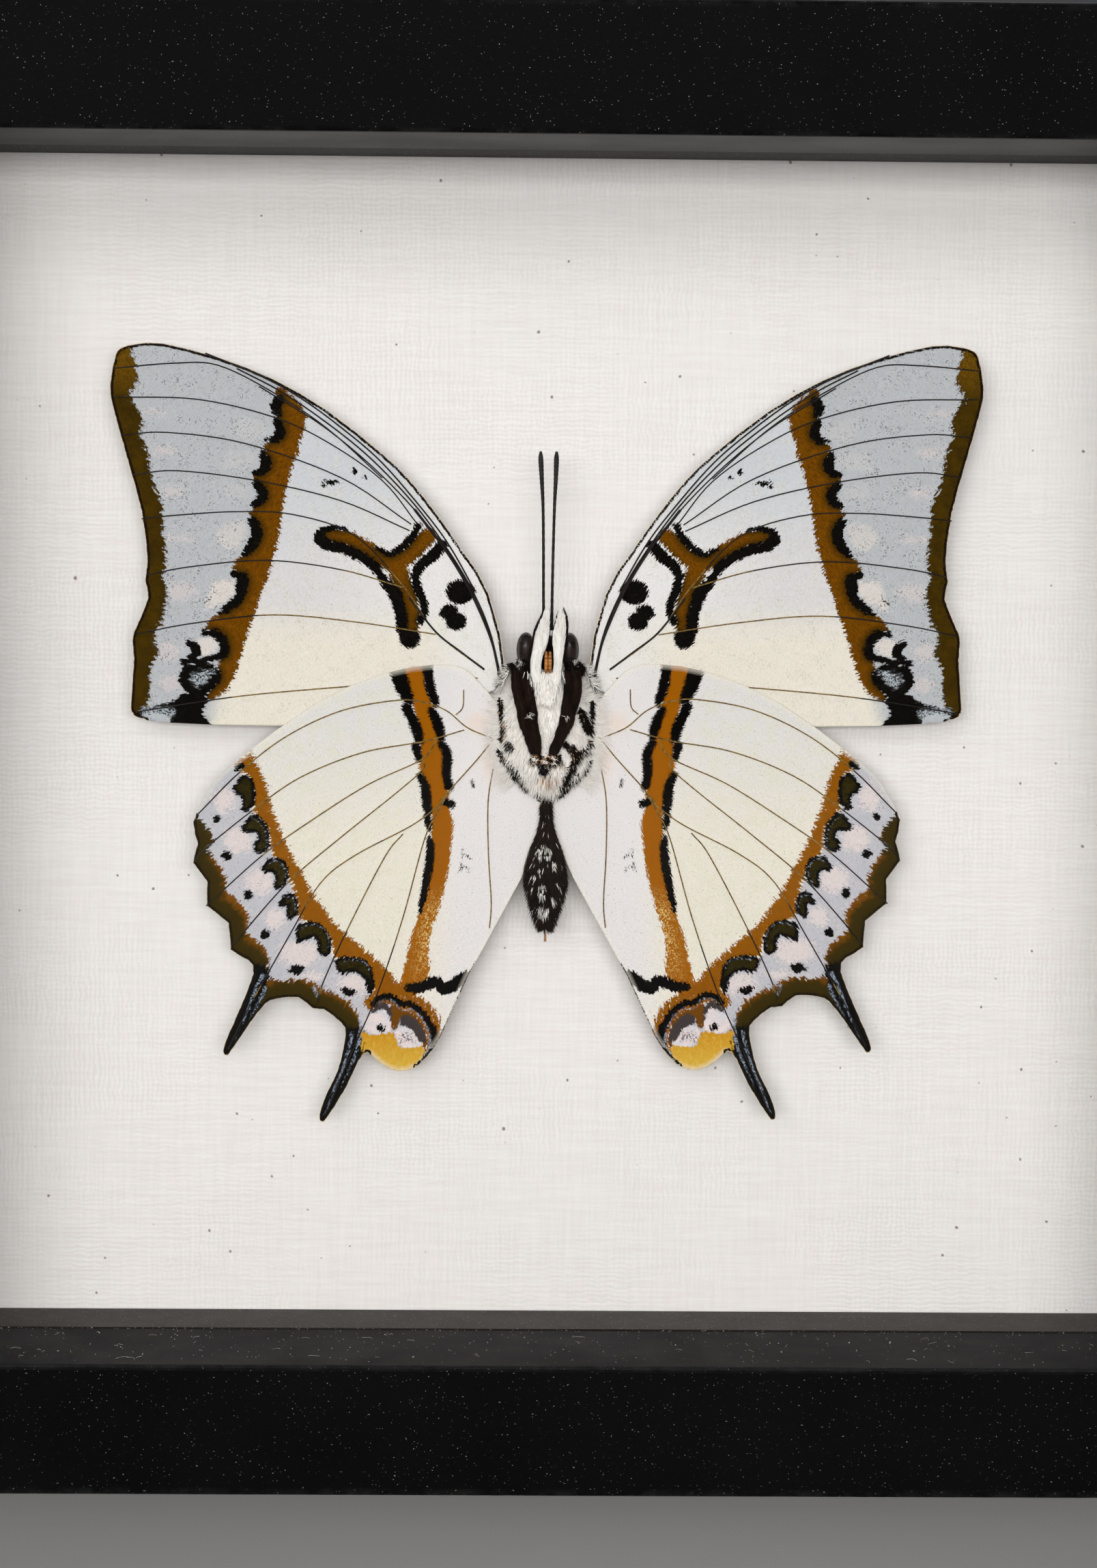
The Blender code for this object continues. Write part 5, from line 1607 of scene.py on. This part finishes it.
BLACK_HORN = horn_finish()
for side_name, side in (("left", -1), ("right", 1)):
    line = smooth_line(
        [
            (side * 0.5, 9.5, 4.4, 0.17),
            (side * 0.55 - 0.05, 14.0, 3.4, 0.15),
            (side * 0.62 - 0.05, 20.0, 2.6, 0.15),
            (side * 0.72 - 0.05, 25.0, 2.2, 0.16),
            (side * 0.88 - 0.08, 28.5, 2.1, 0.22),
            (side * 0.98 - 0.12, 31.0, 2.1, 0.26),
            (side * 1.0 - 0.12, 32.0, 2.1, 0.12),
        ],
        16,
    )
    places = [body_place(out, up, depth) for out, up, depth, radius in line]
    radii = [
        radius * 1.3 * MM * (1.0 if number % 3 else 0.86)
        for number, (out, up, depth, radius) in enumerate(line)
    ]
    rod = strands(f"antenna_{side_name}_rod", [(places, radii, 0)], [BLACK_HORN], 3)
    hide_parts(f"antenna_{side_name}")


# Legs: two dark furred thighs on each side, folded down along the chest.

LEG_LINES = {
    "left": [
        (-3.6, 4.3, 0.9, 2.3), (-3.28, 2.8, 1.2, 1.8), (-2.92, 1.0, 1.2, 1.5), (-2.55, -0.7, 1.15, 1.2),
        (-2.46, -2.1, 1.05, 1.05), (-1.91, -3.8, 0.9, 1.0), (-1.55, -5.3, 0.7, 1.0),
        (-1.45, -6.2, 0.35, 1.05),
    ],
    "right": [
        (3.2, 4.3, 0.85, 2.3), (3.2, 2.8, 1.0, 1.8), (3.07, 1.0, 0.98, 1.5), (2.6, -0.9, 0.85, 1.2),
        (2.38, -2.1, 0.8, 1.05), (1.65, -3.8, 0.66, 1.0), (0.98, -5.3, 0.55, 1.0),
        (0.68, -6.3, 0.3, 1.05),
    ],
}
LEG_FUR = fur_finish("leg_fur", (38, 23, 16), (14, 8, 6), 0.6, 0.0)
for side_name, side in (("left", -1), ("right", 1)):
    line = smooth_line(LEG_LINES[side_name], 6)
    pieces = []
    for lane in (-0.5, 0.5):
        places = [body_place(out + lane * half * 1.1, up, depth) for out, up, half, depth in line]
        radii = [half * 0.56 * MM for out, up, half, depth in line]
        pieces.append((places, radii, 0))
        for number in range(1000):
            spot = chance.randrange(0, len(line) - 4)
            half = radii[spot]
            angle = chance.uniform(-1.5, 1.5)
            shift = Vector((math.sin(angle), -math.cos(angle), 0)) * half * 0.95
            root = places[spot] + shift + Vector((0, 0, chance.uniform(-0.2, 0.2) * MM))
            way = (places[spot + 3] - places[spot]).normalized() + shift.normalized() * 0.2
            pieces.append(hair(root, way, chance.uniform(0.35, 0.7) * MM, 0.035 * MM, 0, 0.0))
    for number in range(12 if side < 0 else 6):
        root = body_place(side * chance.gauss(2.3, 0.16), chance.gauss(-1.2, 0.22), 0.35)
        way = Vector((chance.uniform(-0.6, 0.6), -0.3, chance.uniform(-0.9, 0.3)))
        pieces.append(hair(root, way, chance.uniform(0.4, 0.7) * MM, 0.03 * MM, 1, 0.1))
    leg = strands(f"leg_{side_name}_pair", pieces, [LEG_FUR, WHITE_FUR], 1)
    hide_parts(f"leg_{side_name}")


# Knot of folded feet between the leg tips: tan and black scales jumbled together.

knots = []
for number in range(420):
    out = -0.36 + 1.5 * chance.uniform(-1, 1)
    up = -6.55 + 0.6 * chance.uniform(-1, 1) - 0.12 * abs(out + 0.36)
    root = body_place(out, up, 1.25 + chance.uniform(-0.3, 0.1))
    way = Vector((chance.uniform(-1, 1), -0.5, chance.uniform(-1, 0.6)))
    clump = math.sin(out * 5.1) + math.sin(up * 7.3 + out * 2.0)
    kind = 0 if clump > 0.1 else 1 if clump > -0.7 else 2
    knots.append(hair(root, way, chance.uniform(0.25, 0.5) * MM, 0.06 * MM, kind, 0.1))
foot_knot = strands("foot_knot", knots, [BLACK_FUR, TAN_FUR, WHITE_FUR])


# Abdomen: short, ringed and shrivelled, dark brown and hairy with tufts of white down the middle
# and an amber tip.

ABDOMEN_PROFILE = [
    (-11.6, 0.35), (-12.6, 0.45), (-14.2, 0.5), (-15.6, 0.8), (-17.0, 1.35), (-18.6, 1.9), (-20.4, 2.35),
    (-22.2, 2.5), (-24.2, 2.05), (-26.2, 1.45), (-27.7, 0.8), (-28.4, 0.25),
]
abdomen_low, abdomen_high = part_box("abdomen")
ABDOMEN_Y = (abdomen_low.y + abdomen_high.y) / 2 / MM
profile = smooth_line(ABDOMEN_PROFILE, 8)
shell = bmesh.new()
points = []
for number, (up, radius) in enumerate(profile):
    ring = 1 + 0.05 * math.sin(up * 3.9)
    points.append(shell.verts.new(body_place(radius * ring, up, 0)))
points.insert(0, shell.verts.new(body_place(0, profile[0][0] + 0.1, 0)))
points.append(shell.verts.new(body_place(0, profile[-1][0] - 0.1, 0)))
edges = [shell.edges.new(pair) for pair in zip(points, points[1:])]
bmesh.ops.spin(
    shell,
    geom=points + edges,
    axis=(0, 0, 1),
    cent=(0, 0, 0),
    angle=2 * math.pi,
    steps=40,
    use_merge=True,
)
bmesh.ops.remove_doubles(shell, verts=shell.verts, dist=1e-6)
bmesh.ops.recalc_face_normals(shell, faces=shell.faces)
bmesh.ops.translate(shell, vec=(0, ABDOMEN_Y * MM, 0), verts=shell.verts)
abdomen_data = bpy.data.meshes.new("abdomen_skin")
shell.to_mesh(abdomen_data)
shell.free()
abdomen_data.shade_smooth()
abdomen_data.materials.append(BLACK_FUR)
abdomen_skin = bpy.data.objects.new("abdomen_skin", abdomen_data)
bpy.context.scene.collection.objects.link(abdomen_skin)
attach(abdomen_skin, "root")
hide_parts("abdomen")

ABDOMEN_WHITE = [
    (-0.3, -18.4, 0.95, 0.75), (-0.6, -20.6, 0.5, 0.45), (-0.5, -23.4, 0.5, 1.0), (-0.2, -25.9, 0.65, 0.8),
    (-1.4, -21.6, 0.35, 0.3), (0.95, -24.6, 0.3, 0.35), (0.9, -20.0, 0.35, 0.35), (1.5, -22.4, 0.3, 0.3),
]
hairs = []
for number in range(5000):
    up, radius = profile[chance.randrange(6, len(profile) - 3)]
    up += chance.uniform(-0.15, 0.15)
    angle = chance.uniform(-1.9, 1.9)
    root = body_place(radius * math.sin(angle) * 0.99, up, ABDOMEN_Y - radius * math.cos(angle) * 0.99)
    pale = from_spots(np.array([(radius * math.sin(angle), up)]), ABDOMEN_WHITE)[0] < 0 and angle < 1.3
    banded = math.sin(up * 4.6) > 0.6 and abs(angle) < 1.0 and chance.random() < 0.07
    pale = pale and chance.random() < 0.6 or banded
    way = Vector((math.sin(angle) * 0.5, -math.cos(angle) * 0.5, -1.0))
    way += Vector([chance.uniform(-0.2, 0.2) for axis in range(3)])
    girth = chance.uniform(0.032, 0.055) * (1.15 if pale else 1)
    hairs.append(hair(root, way, chance.uniform(0.5, 1.2) * MM, girth * MM, 1 if pale else 0, 0.0))
for lean in (-0.12, 0.0, 0.12):
    places = [
        body_place(lean * (1 - step), -27.6 - 1.3 * step, ABDOMEN_Y - 0.5 + 0.3 * step)
        for step in range(3)
    ]
    hairs.append((places, [0.22 * MM, 0.16 * MM, 0.05 * MM], 2))
abdomen_fur = strands("abdomen_fur", hairs, [LEG_FUR, WHITE_FUR, TAN_FUR])


# Stage: a pale floor and soft light from two wide lamps in front and one behind. The lower front
# lamp throws a narrow beam and isn't mirrored by the glass.


def pale_floor():
    finish = Finish("pale_floor")
    clouds = finish.noise(finish.place((1, 1, 1)), 6.0, 4)
    colour = finish.blend(finish.span(clouds, 0.3, 0.7), display(214, 213, 211), display(220, 219, 217))
    finish.feed(finish.shader.inputs["Base Color"], colour)
    finish.feed(finish.shader.inputs["Roughness"], 0.8)
    return finish.material


FLOOR_SIZE = 6.0
floor_mesh = bmesh.new()
bmesh.ops.create_grid(floor_mesh, x_segments=8, y_segments=8, size=FLOOR_SIZE / 2)
floor_data = bpy.data.meshes.new("floor")
floor_mesh.to_mesh(floor_data)
floor_mesh.free()
floor_data.materials.append(pale_floor())
floor = bpy.data.objects.new("floor", floor_data)
bpy.context.scene.collection.objects.link(floor)


def lamp(name, place, aim, size, power, colour=(1, 1, 1)):
    data = bpy.data.lights.new(name, "AREA")
    data.shape = "RECTANGLE"
    data.size, data.size_y = size
    data.energy = power
    data.color = colour
    made = bpy.data.objects.new(name, data)
    made.location = place
    made.rotation_euler = (Vector(aim) - Vector(place)).to_track_quat("-Z", "Y").to_euler()
    bpy.context.scene.collection.objects.link(made)
    return made


AIM = (0, 0, FRAME_MIDDLE)
front_lamp = lamp("front_lamp", (-0.05, -1.2, 0.18), AIM, (1.1, 0.22), 2.7, (1.0, 0.985, 0.98))
front_lamp.data.spread = math.radians(75)
front_lamp.visible_glossy = False
front_lamp.visible_transmission = False
lamp("key_lamp", (-0.25, -1.3, 0.62), AIM, (1.2, 0.45), 4.2, (1.0, 0.99, 0.98))
lamp("back_lamp", (0.3, 1.1, 0.8), AIM, (0.9, 0.9), 6)
world = bpy.data.worlds.new("studio_air")
world.use_nodes = True
world.node_tree.nodes["Background"].inputs["Color"].default_value = (0.92, 0.95, 1.0, 1)
world.node_tree.nodes["Background"].inputs["Strength"].default_value = 0.06
bpy.context.scene.world = world

bpy.context.view_layer.update()
